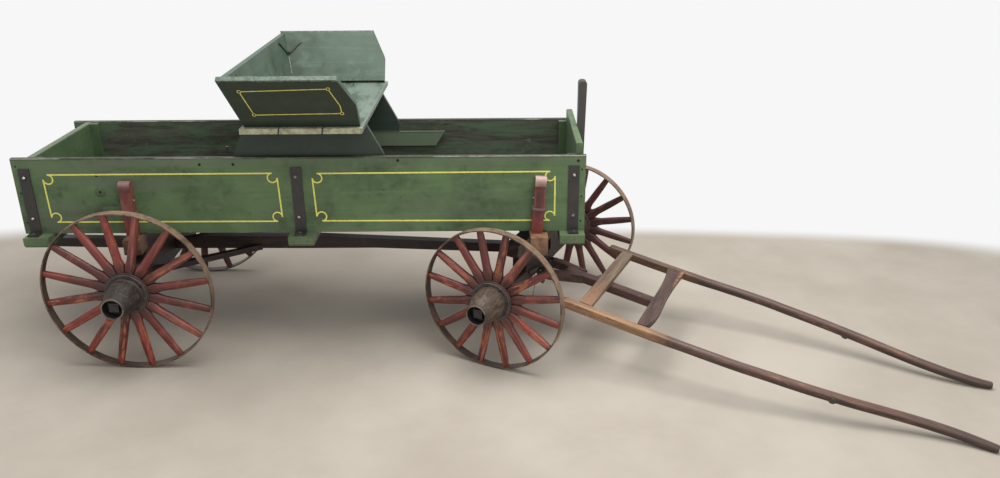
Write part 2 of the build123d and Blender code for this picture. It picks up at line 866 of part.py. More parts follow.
for side_name, shape in shaft_pair.items():
    keep(from_hinge(shape), f"shaft_{side_name}", lower, steer)

bar_low = shaft_rise + shaft_bar / 2 - crossbar_t
crossbar_half = shaft_half - shaft_bar / 2
with BuildPart() as crossbar_rear:
    with BuildSketch(Plane.XY.offset(bar_low)):
        with Locations((crossbar_rear_x, 0)):
            Rectangle(crossbar_rear_w, 2 * crossbar_half)
    extrude(amount=crossbar_t)
    fillet(crossbar_rear.edges().group_by(Axis.Z)[-1].filter_by(Axis.Y), crossbar_round)
keep(from_hinge(crossbar_rear.part), "crossbar_rear", lower, steer)

bar_edges = []
for edge in (1, 2):
    bar_edges.append([
        (crossbar_front_x + crossbar_front_w * row[edge], crossbar_half * row[0])
        for row in crossbar_front_shares
    ])
with BuildPart() as crossbar_front:
    with BuildSketch(Plane.XY.offset(bar_low)):
        with BuildLine():
            Spline(*bar_edges[0])
            Spline(*bar_edges[1])
            Line(bar_edges[0][0], bar_edges[1][0])
            Line(bar_edges[0][-1], bar_edges[1][-1])
        make_face()
    extrude(amount=crossbar_t)
keep(from_hinge(crossbar_front.part), "crossbar_front", lower, steer)

beam_high = bar_low
beam_low = beam_high - hound_bar
tongue_side = tongue_w / 2 + seat_gap
hound_in_y = hound_y - hound_bar / 2
hound_out_y = hound_y + hound_bar / 2
narrowing = (hound_out_y - tongue_w / 2 - hound_nose) / (hound_len - hound_straight)
hound_meet_x = hound_straight + (hound_in_y - tongue_side) / narrowing
climb = atan2(beam_low + hound_bar / 2, (hound_meet_x + hound_len) / 2)
hound_plane = Plane(origin=(0, 0, 0), x_dir=(cos(climb), 0, sin(climb)), z_dir=(-sin(climb), 0, cos(climb)))
with BuildPart() as shaft_hounds:
    for side in sides.values():
        with BuildSketch(hound_plane.offset(-hound_bar / 2)):
            with BuildLine():
                Polyline(
                    (0, side * hound_in_y),
                    (0, side * hound_out_y),
                    (hound_straight, side * hound_out_y),
                    (hound_len, side * (tongue_w / 2 + hound_nose)),
                    (hound_len, side * tongue_side),
                    (hound_meet_x, side * tongue_side),
                    (hound_straight, side * hound_in_y),
                    close=True,
                )
            make_face()
        extrude(amount=hound_bar)
        with BuildSketch(Plane.XZ.offset(-side * hound_y)):
            Circle(hound_bar / 2)
        extrude(amount=hound_bar / 2, both=True)
        with BuildSketch(Plane.XZ.offset(-side * hound_y)):
            Circle(hinge_r + hinge_fit)
        extrude(amount=hound_bar, both=True, mode=Mode.SUBTRACT)
keep(from_hinge(shaft_hounds.part), "shaft_hounds", lower, steer)

with BuildPart() as tongue:
    with BuildSketch(Plane.XY.offset(beam_low)):
        with Locations((hound_len - tongue_back, 0)):
            Rectangle(tongue_len - hound_len + tongue_back, tongue_w, align=(Align.MIN, Align.CENTER))
    extrude(amount=hound_bar)
keep(from_hinge(tongue.part), "tongue", lower, steer)


# Irons under the front axle bed, whose pins carry the hounds

cheek_y = hound_bar / 2 + hinge_side_gap + hinge_cheek_t / 2
bed_front_x = front_bed_w / 2 - hinge_ahead
bed_under_z = bed_z[0] - hinge_z
with BuildPart() as hinge_irons:
    for side in sides.values():
        for cheek in (-cheek_y, cheek_y):
            with BuildSketch(Plane.XZ.offset(side * hound_y + cheek)):
                Circle(hinge_cheek_r)
                with Locations((bed_front_x, 0)):
                    Rectangle(-bed_front_x, 2 * hinge_cheek_r, align=(Align.MIN, Align.CENTER))
                with Locations((bed_front_x, bed_under_z)):
                    Rectangle(hinge_strap_back, hinge_strap_t, align=(Align.MAX, Align.MAX))
            extrude(amount=hinge_cheek_t / 2, both=True)
        with BuildSketch(Plane.XY.offset(bed_under_z - hinge_strap_t)):
            with Locations((bed_front_x, -side * hound_y)):
                Rectangle(hinge_strap_back, 2 * cheek_y, align=(Align.MAX, Align.CENTER))
            with Locations((bed_front_x - hinge_strap_back, -side * hound_y)):
                Circle(cheek_y + hinge_cheek_t / 2)
        extrude(amount=hinge_strap_t)
        with BuildSketch(Plane.XZ.offset(side * hound_y)):
            Circle(hinge_r)
        extrude(amount=cheek_y, both=True)
        for cheek in (-1, 1):
            outer = side * hound_y + cheek * (cheek_y + hinge_cheek_t / 2)
            with BuildSketch(Plane.XZ.offset(outer)):
                Circle(hinge_head_r)
            extrude(amount=cheek * hinge_head_t)
keep(from_hinge(hinge_irons.part), "hinge_irons", steer)

# The origin is on the floor under the middle of the parked wagon.
boxes = [shape.bounding_box() for shape in made]
middle_x = (min(box.min.X for box in boxes) + max(box.max.X for box in boxes)) / 2
middle_y = (min(box.min.Y for box in boxes) + max(box.max.Y for box in boxes)) / 2
home = Location((-middle_x, -middle_y, -min(box.min.Z for box in boxes)))
for shape in made:
    placed = shape.moved(home)
    placed.label = shape.label
    export_step(placed, f"parts/{shape.label}.step")
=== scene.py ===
"""Goat wagon: worn paint, old wood and iron, small ironwork, painted lines and a plain studio.

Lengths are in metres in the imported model's frame. Three drawing frames bring drawn points to it:
the box frame, raked about the rear axle; the gear frame, turned about the king bolt; and the
shaft frame, let down about the hinge under the front axle and then turned.
"""
from __future__ import annotations

import logging
import math
from dataclasses import dataclass, field
from enum import Enum
from typing import Sequence, Union

import bpy
import numpy as np
from mathutils import Matrix, Vector

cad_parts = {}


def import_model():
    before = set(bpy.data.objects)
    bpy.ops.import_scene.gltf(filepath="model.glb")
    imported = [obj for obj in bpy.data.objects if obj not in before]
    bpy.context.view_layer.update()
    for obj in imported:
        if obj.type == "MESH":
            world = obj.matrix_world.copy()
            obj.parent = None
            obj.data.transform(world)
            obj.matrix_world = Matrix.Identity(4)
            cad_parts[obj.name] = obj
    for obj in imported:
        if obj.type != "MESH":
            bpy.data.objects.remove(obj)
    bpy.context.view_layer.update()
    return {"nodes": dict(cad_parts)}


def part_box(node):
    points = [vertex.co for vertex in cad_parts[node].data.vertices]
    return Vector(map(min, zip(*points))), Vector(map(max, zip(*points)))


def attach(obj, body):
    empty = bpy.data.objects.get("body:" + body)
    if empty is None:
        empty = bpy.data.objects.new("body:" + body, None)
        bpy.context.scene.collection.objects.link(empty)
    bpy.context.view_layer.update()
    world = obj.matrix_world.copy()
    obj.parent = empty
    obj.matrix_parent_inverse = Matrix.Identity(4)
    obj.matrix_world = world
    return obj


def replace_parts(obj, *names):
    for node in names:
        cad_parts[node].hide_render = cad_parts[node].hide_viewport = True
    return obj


Colour = tuple[float, float, float]
Number = Union[int, float]
Form = tuple[np.ndarray, list]
log = logging.getLogger("goat_wagon")


def tint(red: int, green: int, blue: int) -> Colour:
    """Turns a colour written as it shows on a screen into the light values that shaders use.

    Args:
        red: Red from 0 to 255.
        green: Green from 0 to 255.
        blue: Blue from 0 to 255.

    Returns:
        The colour in linear light.
    """
    def channel(level: int) -> float:
        """Undoes the screen's curve for one channel."""
        share = level / 255
        return share / 12.92 if share <= 0.04045 else ((share + 0.055) / 1.055) ** 2.4
    return channel(red), channel(green), channel(blue)


# Drawing frames


@dataclass(frozen=True)
class Place:
    """A drawing frame, as a turn and then a shift that bring a drawn point to the model's frame."""

    turn: np.ndarray
    shift: np.ndarray

    def out(self, points: np.ndarray) -> np.ndarray:
        """Brings drawn points to the model's frame: turn times point, plus shift.

        Args:
            points: Drawn points, one a row.

        Returns:
            The points in the model's frame.
        """
        return np.asarray(points, float) @ self.turn.T + self.shift

    def then(self, outer: "Place") -> "Place":
        """Draws this frame inside another one.

        Args:
            outer: The frame that this one's points are drawn in.

        Returns:
            One frame that does both.
        """
        return Place(outer.turn @ self.turn, outer.turn @ self.shift + outer.shift)


def turn_about(axis: str, degrees: float) -> np.ndarray:
    """The turning matrix about one axis, by the right-hand rule.

    Args:
        axis: "x", "y" or "z".
        degrees: The angle.

    Returns:
        A 3 by 3 matrix.
    """
    c, s = math.cos(math.radians(degrees)), math.sin(math.radians(degrees))
    table = {
        "x": [[1, 0, 0], [0, c, -s], [0, s, c]],
        "y": [[c, 0, s], [0, 1, 0], [-s, 0, c]],
        "z": [[c, -s, 0], [s, c, 0], [0, 0, 1]],
    }
    return np.array(table[axis], float)


def pivot(axis: str, degrees: float, about: Sequence[float]) -> Place:
    """A turn about a point: turn times (point minus pivot), plus pivot.

    Args:
        axis: The axis' letter.
        degrees: The angle.
        about: The pivot.

    Returns:
        The frame.
    """
    turn = turn_about(axis, degrees)
    point = np.array(about, float)
    return Place(turn, point - turn @ point)


@dataclass(frozen=True)
class Stance:
    """How the wagon is parked, with the angles and lengths that the solids were drawn with."""

    rake: float = 1.3
    steer: float = -24.6
    droop: float = 9.7567
    wheelbase: float = 1.244
    rear_radius: float = 0.254
    front_radius: float = 0.2286
    track: float = 0.722
    hinge_ahead: float = 0.045
    hinge_z: float = 0.199
    parked: tuple = (("rear_right", 9.6), ("rear_left", 4.0), ("front_right", -10.2),
                     ("front_left", 8.8))

    def home(self) -> Place:
        """The shift from the drawing's rear axle to the model's frame, read from the king bolt."""
        low, high = (np.array(corner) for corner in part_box("king_bolt"))
        middle = (low + high) / 2
        return Place(np.eye(3), np.array([middle[0] - self.wheelbase, middle[1], 0.0]))

    def box(self) -> Place:
        """The box frame, raked about the rear axle."""
        return pivot("y", -self.rake, (0, 0, self.rear_radius)).then(self.home())

    def gear(self) -> Place:
        """The gear frame: ahead, aside and up from the floor under the king bolt."""
        ahead = Place(turn_about("z", self.steer), np.array([self.wheelbase, 0, 0], float))
        return ahead.then(self.home())

    def shafts(self) -> Place:
        """The shaft frame: along, aside and up from the hinge."""
        hinge = Place(turn_about("y", self.droop), np.array([self.hinge_ahead, 0, self.hinge_z]))
        return hinge.then(self.gear())

    def wheel(self, end: str, side: str) -> Place:
        """A wheel's frame: y out of the hub, z out along a spoke.

        Args:
            end: "rear" or "front".
            side: "right" or "left".

        Returns:
            The frame.
        """
        outward = 1 if side == "left" else -1
        radius = self.rear_radius if end == "rear" else self.front_radius
        rolled = Place(turn_about("y", dict(self.parked)[f"{end}_{side}"]), np.zeros(3))
        out = Place(turn_about("z", 0 if outward > 0 else 180),
                    np.array([0, outward * self.track / 2, radius]))
        return rolled.then(out).then(self.home() if end == "rear" else self.gear())


STANCE = Stance()


# Shader expressions


class Val:
    """A node's output in a shader expression; the operators add Math nodes."""

    def __init__(self, graph: "Graph", socket: bpy.types.NodeSocket) -> None:
        """Keeps the graph and the socket."""
        self.graph = graph
        self.socket = socket

    def __add__(self, other: "Term") -> "Val":
        """Adds."""
        return self.graph.math("ADD", self, other)

    __radd__ = __add__

    def __sub__(self, other: "Term") -> "Val":
        """Takes away."""
        return self.graph.math("SUBTRACT", self, other)

    def __rsub__(self, other: "Term") -> "Val":
        """Is taken away from other."""
        return self.graph.math("SUBTRACT", other, self)

    def __mul__(self, other: "Term") -> "Val":
        """Multiplies."""
        return self.graph.math("MULTIPLY", self, other)

    __rmul__ = __mul__

    def __truediv__(self, other: "Term") -> "Val":
        """Divides."""
        return self.graph.math("DIVIDE", self, other)

    def __abs__(self) -> "Val":
        """Drops the sign."""
        return self.graph.math("ABSOLUTE", self)

    def at_most(self, other: "Term") -> "Val":
        """The lesser of two."""
        return self.graph.math("MINIMUM", self, other)

    def at_least(self, other: "Term") -> "Val":
        """The greater of two."""
        return self.graph.math("MAXIMUM", self, other)

    def rise(self, low: float, high: float) -> "Val":
        """A smooth step from 0 at low to 1 at high; it falls where low is the greater.

        Args:
            low: Where it leaves 0.
            high: Where it reaches 1.

        Returns:
            The step.
        """
        ends = {"From Min": min(low, high), "From Max": max(low, high),
                "To Min": 0.0 if low < high else 1.0, "To Max": 1.0 if low < high else 0.0}
        return self.graph.node("ShaderNodeMapRange", {"interpolation_type": "SMOOTHSTEP"},
                               {"Value": self, **ends})


Term = Union[Val, Number]
Paint = Union[Val, Colour]
Point = Union[Val, tuple[Term, Term, Term]]
Laid = tuple[Val, Val, Val]


class Graph:
    """One material's node tree, written as expressions."""

    def __init__(self, name: str) -> None:
        """Starts an empty tree with its shader and output.

        Args:
            name: The material's name.
        """
        self.material = bpy.data.materials.new(name)
        self.material.use_nodes = True
        self.tree = self.material.node_tree
        self.tree.nodes.clear()
        self.shader = self.tree.nodes.new("ShaderNodeBsdfPrincipled")
        output = self.tree.nodes.new("ShaderNodeOutputMaterial")
        self.tree.links.new(self.shader.outputs["BSDF"], output.inputs["Surface"])

    def plug(self, socket: bpy.types.NodeSocket, value: object) -> None:
        """Links or sets one socket.

        Args:
            socket: The input.
            value: A Val, a number, a colour or a vector.
        """
        if isinstance(value, Val):
            self.tree.links.new(value.socket, socket)
        elif isinstance(value, tuple) and socket.type == "RGBA":
            socket.default_value = (*value, 1.0)
        else:
            socket.default_value = value

    def node(self, kind: str, settings: dict, inputs: dict, out: Union[int, str] = 0) -> Val:
        """Adds any node.

        Args:
            kind: The node's type.
            settings: Its settings, set first.
            inputs: Values or links by socket name or number.
            out: Which output is wanted.

        Returns:
            The output.
        """
        made = self.tree.nodes.new(kind)
        for name, value in settings.items():
            setattr(made, name, value)
        for key, value in inputs.items():
            self.plug(made.inputs[key], value)
        return Val(self, made.outputs[out])

    def math(self, operation: str, *terms: Term) -> Val:
        """Adds a Math node.

        Args:
            operation: Its operation.
            terms: Its one or two terms.

        Returns:
            The result.
        """
        return self.node("ShaderNodeMath", {"operation": operation}, dict(enumerate(terms)))

    def mix(self, share: Term, first: Paint, second: Paint) -> Val:
        """Mixes two colours: first where share is 0, second where it is 1.

        Args:
            share: The mask.
            first: A colour.
            second: A colour.

        Returns:
            The mixed colour.
        """
        return self.node("ShaderNodeMix", {"data_type": "RGBA"}, {0: share, 6: first, 7: second}, 2)

    def vector(self, x: Term, y: Term, z: Term) -> Val:
        """Joins three values into a vector."""
        return self.node("ShaderNodeCombineXYZ", {}, {0: x, 1: y, 2: z})

    def parts(self, vector: Val) -> tuple[Val, Val, Val]:
        """Splits a vector into its three values."""
        split = self.tree.nodes.new("ShaderNodeSeparateXYZ")
        self.plug(split.inputs[0], vector)
        return tuple(Val(self, output) for output in split.outputs)

    def drawn(self, place: Place) -> tuple[Val, Val, Val]:
        """Object coordinates brought back to a drawing frame: inverse turn * (point - shift).

        Args:
            place: The drawing frame.

        Returns:
            x, y and z in that frame, in metres.
        """
        back = place.turn.T
        euler = Matrix(back.tolist()).to_euler("XYZ")
        point = self.node("ShaderNodeTexCoord", {}, {}, "Object")
        mapped = self.node("ShaderNodeMapping", {"vector_type": "POINT"}, {
            "Vector": point, "Location": tuple(-back @ place.shift), "Rotation": tuple(euler)})
        return self.parts(mapped)

    def noise(self, point: Point, scale: float, detail: float = 3.0, rough: float = 0.55,
              twist: float = 0.0) -> Val:
        """Cloudy noise about 0.5.

        Args:
            point: Where it is read, as one vector or as three values.
            scale: Blotches a metre, about.
            detail: Octaves.
            rough: The finer octaves' share.
            twist: How far it is pushed about by itself.

        Returns:
            The noise.
        """
        here = self.vector(*point) if isinstance(point, tuple) else point
        return self.node("ShaderNodeTexNoise", {}, {
            "Vector": here, "Scale": scale, "Detail": detail, "Roughness": rough,
            "Distortion": twist})

    def distance(self, x: Val, z: Val) -> Val:
        """How far a point lies from the drawn y axis: the root of x * x + z * z."""
        return self.math("SQRT", x * x + z * z)

    def random(self, point: Val) -> Val:
        """An even random number from 0 to 1 for each whole point."""
        return self.node("ShaderNodeTexWhiteNoise", {}, {"Vector": point}, "Value")

    def glow(self, share: Term, colour: Colour) -> None:
        """Lets the surface go over to plain light, for a floor that runs into its backdrop.

        Args:
            share: 0 where the floor is a floor, 1 where it is backdrop.
            colour: The backdrop's colour.
        """
        light = self.tree.nodes.new("ShaderNodeEmission")
        self.plug(light.inputs["Color"], colour)
        both = self.tree.nodes.new("ShaderNodeMixShader")
        self.plug(both.inputs[0], share)
        self.tree.links.new(self.shader.outputs["BSDF"], both.inputs[1])
        self.tree.links.new(light.outputs["Emission"], both.inputs[2])
        output = self.tree.nodes["Material Output"]
        self.tree.links.new(both.outputs["Shader"], output.inputs["Surface"])

    def finish(self, colour: Paint, rough: Term, height: Union[Val, None] = None,
               depth: float = 0.0006, metal: Term = 0.0, spec: float = 0.4) -> bpy.types.Material:
        """Sets the shader.

        Args:
            colour: Base colour.
            rough: Roughness.
            height: Relief from 0 to 1, or None.
            depth: The relief's depth in metres.
            metal: Metallic.
            spec: Specular level, one number.

        Returns:
            The material.
        """
        self.plug(self.shader.inputs["Base Color"], colour)
        self.plug(self.shader.inputs["Roughness"], rough)
        self.plug(self.shader.inputs["Metallic"], metal)
        self.shader.inputs["Specular IOR Level"].default_value = spec
        if height is not None:
            bump = self.node("ShaderNodeBump", {}, {"Distance": depth, "Strength": 1.0,
                                                     "Height": height}, "Normal")
            self.plug(self.shader.inputs["Normal"], bump)
        return self.material


def started(name: str, place: Place) -> tuple[Graph, Val, Val, Val]:
    """Starts a material that is drawn in a frame.

    Args:
        name: The material's name.
        place: The drawing frame.

    Returns:
        Its tree, and x, y and z in that frame.
    """
    graph = Graph(name)
    return graph, *graph.drawn(place)


# Finishes


class Grain(Enum):
    """The way a board's or beam's grain runs in its drawing frame."""

    ALONG_X = (0.06, 1.0, 1.0)
    ALONG_Y = (1.0, 0.06, 1.0)
    ALONG_Z = (1.0, 1.0, 0.06)


@dataclass(frozen=True)
class OldPaint:
    """Old brushed paint on wood: cloudy, scratched, dirty, and worn off in chips and at edges."""

    base: Colour
    deep: Colour
    pale: Colour
    bare: Colour = tint(96, 80, 62)
    dirt: Colour = tint(44, 42, 34)
    chips: float = 0.30
    streaks: float = 0.5
    rough: float = 0.5

    def lay(self, graph: Graph, x: Val, y: Val, z: Val, grain: Grain, seed: float,
            worn: Term = 0.0) -> Laid:
        """Works the paint out at a point.

        Args:
            graph: The material's tree.
            x: Drawn x.
            y: Drawn y.
            z: Drawn z.
            grain: The way the grain runs.
            seed: Shifts the patterns, so that boards differ.
            worn: Extra wear from 0 to 1, such as a mask of edges.

        Returns:
            Colour, roughness and height.
        """
        gx, gy, gz = grain.value
        here = graph.vector(x + seed, y + seed * 0.37, z - seed * 0.21)
        drawn = graph.vector(x * gx + seed, y * gy, z * gz + seed * 0.5)
        clouds = graph.noise(here, 4.5, 4.0, 0.6)
        blotch = graph.noise(here, 21.0, 5.0, 0.66, 0.4)
        bands = graph.noise(drawn, 44.0, 4.0, 0.62, 0.5)
        fibres = graph.noise(drawn, 150.0, 4.0, 0.6)
        fine = graph.noise(drawn, 420.0, 3.0, 0.6)
        specks = graph.noise(here, 95.0, 4.0, 0.7, 0.6)
        colour = graph.mix(clouds.rise(0.38, 0.66), self.deep, self.base)
        colour = graph.mix(bands.rise(0.50, 0.70) * self.streaks, colour, self.pale)
        colour = graph.mix(bands.rise(0.48, 0.32) * self.streaks, colour, self.deep)
        colour = graph.mix(blotch.rise(0.52, 0.72) * 0.45, colour, self.pale)
        colour = graph.mix(fibres.rise(0.54, 0.76) * self.streaks, colour, self.deep)
        grime = (blotch * 0.6 + clouds * 0.4).rise(0.5, 0.36) * 0.45
        colour = graph.mix(grime, colour, self.dirt)
        scratch = abs(graph.noise(drawn, 30.0, 1.0, 0.5, 0.9) - 0.5).rise(0.007, 0.0)
        scratch = scratch * specks.rise(0.50, 0.60)
        colour = graph.mix(scratch * 0.55, colour, self.dirt)
        wear = specks * 0.5 + blotch * 0.3 + fibres * 0.2 + worn * 0.34
        chip = wear.rise(0.72 - self.chips * 0.2, 0.745 - self.chips * 0.2)
        wood = graph.mix(fine.rise(0.35, 0.7), self.bare, self.dirt)
        colour = graph.mix(chip, colour, wood)
        rough = chip * 0.3 + (specks * 0.16 + (self.rough - 0.08))
        height = (1.0 - chip) * 0.5 + fibres * 0.3 + fine * 0.15 - scratch * 0.2
        return colour, rough, height


@dataclass(frozen=True)
class OldWood:
    """Bare or stained wood gone dark, with grain, long cracks and a stain that has worn off."""

    dark: Colour
    mid: Colour
    light: Colour
    cracks: float = 0.5
    rough: float = 0.62

    def lay(self, graph: Graph, x: Val, y: Val, z: Val, grain: Grain, seed: float,
            worn: Term = 0.0) -> Laid:
        """Works the wood out at a point.

        Args:
            graph: The material's tree.
            x: Drawn x.
            y: Drawn y.
            z: Drawn z.
            grain: The way the grain runs.
            seed: Shifts the patterns.
            worn: How far the stain has gone, from 0 to 1.

        Returns:
            Colour, roughness and height.
        """
        gx, gy, gz = grain.value
        here = graph.vector(x + seed, y - seed * 0.4, z + seed * 0.3)
        drawn = graph.vector(x * gx + seed, y * gy + seed * 0.2, z * gz)
        clouds = graph.noise(here, 6.0, 4.0, 0.6)
        nicks = graph.noise(here, 55.0, 4.0, 0.7, 0.5)
        bands = graph.noise(drawn, 70.0, 4.0, 0.62, 0.8)
        fibres = graph.noise(drawn, 260.0, 4.0, 0.65)
        split = abs(graph.noise(drawn, 34.0, 2.0, 0.5, 1.2) - 0.5).rise(0.014, 0.0)
        split = split * clouds.rise(0.40, 0.55) * self.cracks
        colour = graph.mix(bands.rise(0.36, 0.66), self.dark, self.mid)
        colour = graph.mix((clouds * 0.5 + fibres * 0.35 + worn * 0.6).rise(0.5, 0.82), colour,
                           self.light)
        colour = graph.mix(nicks.rise(0.60, 0.70) * 0.6, colour, self.light)
        colour = graph.mix(nicks.rise(0.40, 0.30) * 0.5, colour, self.dark)
        colour = graph.mix(fibres.rise(0.56, 0.76) * 0.6, colour, self.dark)
        colour = graph.mix(split, colour, tint(26, 20, 18))
        rough = fibres * 0.2 + (self.rough - 0.1)
        height = bands * 0.25 + fibres * 0.35 + (1.0 - split) * 0.4
        return colour, rough, height


@dataclass(frozen=True)
class OldIron:
    """Flat black iron that has gone brown with rust and bright where it rubs."""

    black: Colour = tint(50, 50, 48)
    brown: Colour = tint(66, 57, 48)
    rust: Colour = tint(98, 72, 54)
    rusting: float = 0.35

    def lay(self, graph: Graph, x: Val, y: Val, z: Val, seed: float,
            worn: Term = 0.0) -> Laid:
        """Works the iron out at a point.

        Args:
            graph: The material's tree.
            x: Drawn x.
            y: Drawn y.
            z: Drawn z.
            seed: Shifts the patterns.
            worn: Extra rust from 0 to 1.

        Returns:
            Colour, roughness and height.
        """
        here = graph.vector(x + seed, y + seed * 0.7, z - seed)
        clouds = graph.noise(here, 22.0, 5.0, 0.65, 0.5)
        pits = graph.noise(here, 260.0, 4.0, 0.7)
        rubbed = graph.noise(here, 60.0, 4.0, 0.7)
        colour = graph.mix(clouds.rise(0.4, 0.66), self.black, self.brown)
        bloom = (clouds * 0.5 + pits * 0.5 + worn * 0.3).rise(0.66 - self.rusting * 0.16, 0.74)
        colour = graph.mix(bloom * 0.8, colour, self.rust)
        colour = graph.mix(rubbed.rise(0.60, 0.72) * 0.35, colour, tint(112, 108, 100))
        rough = pits * 0.25 + 0.42 + bloom * 0.12
        return colour, rough, pits * 0.7 + clouds * 0.3


GREEN = OldPaint(tint(97, 122, 82), tint(75, 98, 66), tint(112, 130, 98), chips=0.12, streaks=0.35,
                 bare=tint(112, 104, 82))
FADED_GREEN: Colour = tint(100, 110, 90)
SEAT_GREEN = OldPaint(tint(82, 99, 85), tint(68, 85, 71), tint(104, 121, 105), chips=0.16,
                      bare=tint(150, 148, 120), streaks=0.30)
NEAR_SPOKE = OldPaint(tint(146, 58, 50), tint(92, 38, 36), tint(206, 124, 104), chips=0.46,
                      bare=tint(206, 138, 92), dirt=tint(50, 30, 28), streaks=0.85, rough=0.36)
# The far wheels' spoke paint is a darker copy of the near one: painted shade for the wheels on the
# shaded side.
FAR_SPOKE_SHADED = OldPaint(tint(84, 46, 44), tint(56, 34, 33), tint(118, 76, 68), chips=0.22,
                     bare=tint(140, 104, 78), dirt=tint(48, 32, 30), streaks=0.55, rough=0.45)
MAROON = OldPaint(tint(124, 66, 60), tint(88, 46, 44), tint(158, 104, 94), chips=0.3,
                  bare=tint(150, 118, 92), dirt=tint(50, 32, 30), rough=0.42)
DARK_MAROON = OldPaint(tint(44, 30, 27), tint(31, 22, 21), tint(76, 54, 46), chips=0.26,
                       bare=tint(104, 84, 66), dirt=tint(27, 22, 20))
INSIDE = OldWood(tint(60, 60, 51), tint(84, 85, 72), tint(118, 116, 97), cracks=0.7)
HUB_WOOD = OldWood(tint(40, 34, 31), tint(62, 54, 48), tint(98, 86, 74), cracks=0.6)
TAN_HUB_WOOD = OldWood(tint(66, 54, 45), tint(102, 86, 71), tint(142, 122, 100), cracks=0.6)
SHAFT_STAIN = OldWood(tint(54, 37, 30), tint(88, 61, 50), tint(134, 98, 76), cracks=0.7,
                      rough=0.42)
SHAFT_BARE = OldWood(tint(126, 92, 66), tint(170, 130, 94), tint(208, 170, 128), cracks=0.6)
BAR_WOOD = OldWood(tint(96, 78, 64), tint(134, 112, 92), tint(172, 150, 124), cracks=0.9)
DARK_WOOD = OldWood(tint(62, 44, 40), tint(92, 68, 60), tint(132, 104, 86), cracks=0.9)
BLACK_IRON = OldIron()
TYRE_IRON = OldIron(black=tint(58, 44, 37), brown=tint(82, 62, 50), rust=tint(124, 92, 72),
                    rusting=0.8)
LINE_YELLOW: Colour = tint(248, 244, 128)
SEAT_LINE: Colour = tint(250, 240, 130)


# Meshes


SMOOTH_UNDER = 40
SUNK = 0.001
LINE_PROUD = 0.00045
RING_PROUD = 0.0003
LINE_SUNK = 0.0002


def volume(points: np.ndarray, faces: Sequence[Sequence[int]]) -> float:
    """A closed form's signed volume: a sixth of the sum of first . (second x third) by triangle.

    Args:
        points: Its points.
        faces: Its faces, each fanned from its first point.

    Returns:
        The volume, negative where the faces look inwards.
    """
    fans = np.array([(face[0], face[k], face[k + 1]) for face in faces
                     for k in range(1, len(face) - 1)])
    first, second, third = (points[fans[:, k]] for k in range(3))
    return float(np.sum(first * np.cross(second, third)) / 6)


@dataclass
class Bundle:
    """Points and faces that are gathered and made one mesh."""

    points: list[np.ndarray] = field(default_factory=list)
    faces: list[tuple[int, ...]] = field(default_factory=list)
    count: int = 0

    def add(self, points: np.ndarray, faces: Sequence[Sequence[int]]) -> None:
        """Adds one closed form.

        Args:
            points: Its points, one a row.
            faces: Its faces by point number.
        """
        points = np.asarray(points, float)
        inward = volume(points, faces) < 0
        self.points.append(points)
        for face in faces:
            whole = tuple(int(i) + self.count for i in face)
            self.faces.append(whole[::-1] if inward else whole)
        self.count += len(points)

    def put(self, form: Form, *places: Place) -> None:
        """Adds a form that is drawn in nested frames.

        Args:
            form: Points and faces.
            places: The frames that it sits in, innermost first.
        """
        points, faces = form
        for place in places:
            points = place.out(points)
        self.add(points, faces)

    def make(self, name: str, body: str, material: bpy.types.Material, slot: str,
             smooth: bool = True) -> bpy.types.Object:
        """Makes the object, rides it on its body and reports it.

        Args:
            name: The piece's name.
            body: The body that carries it.
            material: Its finish.
            slot: A material slot's name; not used.
            smooth: Whether faces that meet at under SMOOTH_UNDER degrees are shaded smooth.

        Returns:
            The object.
        """
        mesh = bpy.data.meshes.new(name)
        mesh.from_pydata(np.concatenate(self.points).tolist(), [], self.faces)
        mesh.validate()
        if smooth:
            mesh.shade_smooth()
            mesh.set_sharp_from_angle(angle=math.radians(SMOOTH_UNDER))
        piece = bpy.data.objects.new(name, mesh)
        bpy.context.collection.objects.link(piece)
        piece.data.materials.append(material)
        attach(piece, body)
        log.info("%s: %d faces on %s", name, len(mesh.polygons), body)
        return piece


def unit(rows: np.ndarray) -> np.ndarray:
    """Each row, or one vector, at a length of 1."""
    return rows / np.linalg.norm(rows, axis=-1, keepdims=True)


def straight(start: Sequence[float], stop: Sequence[float], count: int) -> np.ndarray:
    """Points on a straight run: start * (1 - share) + stop * share.

    Args:
        start: Its first point.
        stop: Its last point.
        count: How many points.

    Returns:
        The points, one a row.
    """
    share = np.linspace(0, 1, count)[:, None]
    return np.asarray(start) * (1 - share) + np.asarray(stop) * share


def circle(count: int, closed: bool = False) -> np.ndarray:
    """Points (cos a, sin a) round a circle.

    Args:
        count: How many points.
        closed: Whether the last one lies on the first.

    Returns:
        The points, one a row.
    """
    angle = np.linspace(0, 2 * math.pi, count, endpoint=closed)
    return np.stack([np.cos(angle), np.sin(angle)], -1)


def skin(rows: int, columns: int, ring: bool = False) -> list[tuple]:
    """The faces over rings of points that are stored ring by ring.

    Args:
        rows: Number of rings.
        columns: Points a ring.
        ring: Whether the last ring joins the first; otherwise one face closes each end.

    Returns:
        The faces.
    """
    a, b = np.meshgrid(np.arange(rows if ring else rows - 1), np.arange(columns), indexing="ij")
    c, d = (a + 1) % rows, (b + 1) % columns
    quads = np.stack([a * columns + b, a * columns + d, c * columns + d, c * columns + b], -1)
    faces = [tuple(quad) for quad in quads.reshape(-1, 4)]
    if not ring:
        last = (rows - 1) * columns
        faces += [tuple(range(columns - 1, -1, -1)), tuple(range(last, last + columns))]
    return faces


def revolved(profile: Sequence[tuple[float, float]], segments: int,
             ring: bool = False) -> Form:
    """A turned form: point = (r cos a, r sin a, h) for each (r, h) of the profile and each angle a.

    Args:
        profile: Radius and height from the foot to the top, or round a ring's section.
        segments: Points round.
        ring: Whether the last pair joins the first; otherwise a disc closes each end.

    Returns:
        Points and faces.
    """
    rings = [np.column_stack([radius * circle(segments), np.full(segments, height)])
             for radius, height in profile]
    return np.concatenate(rings), skin(len(profile), segments, ring)


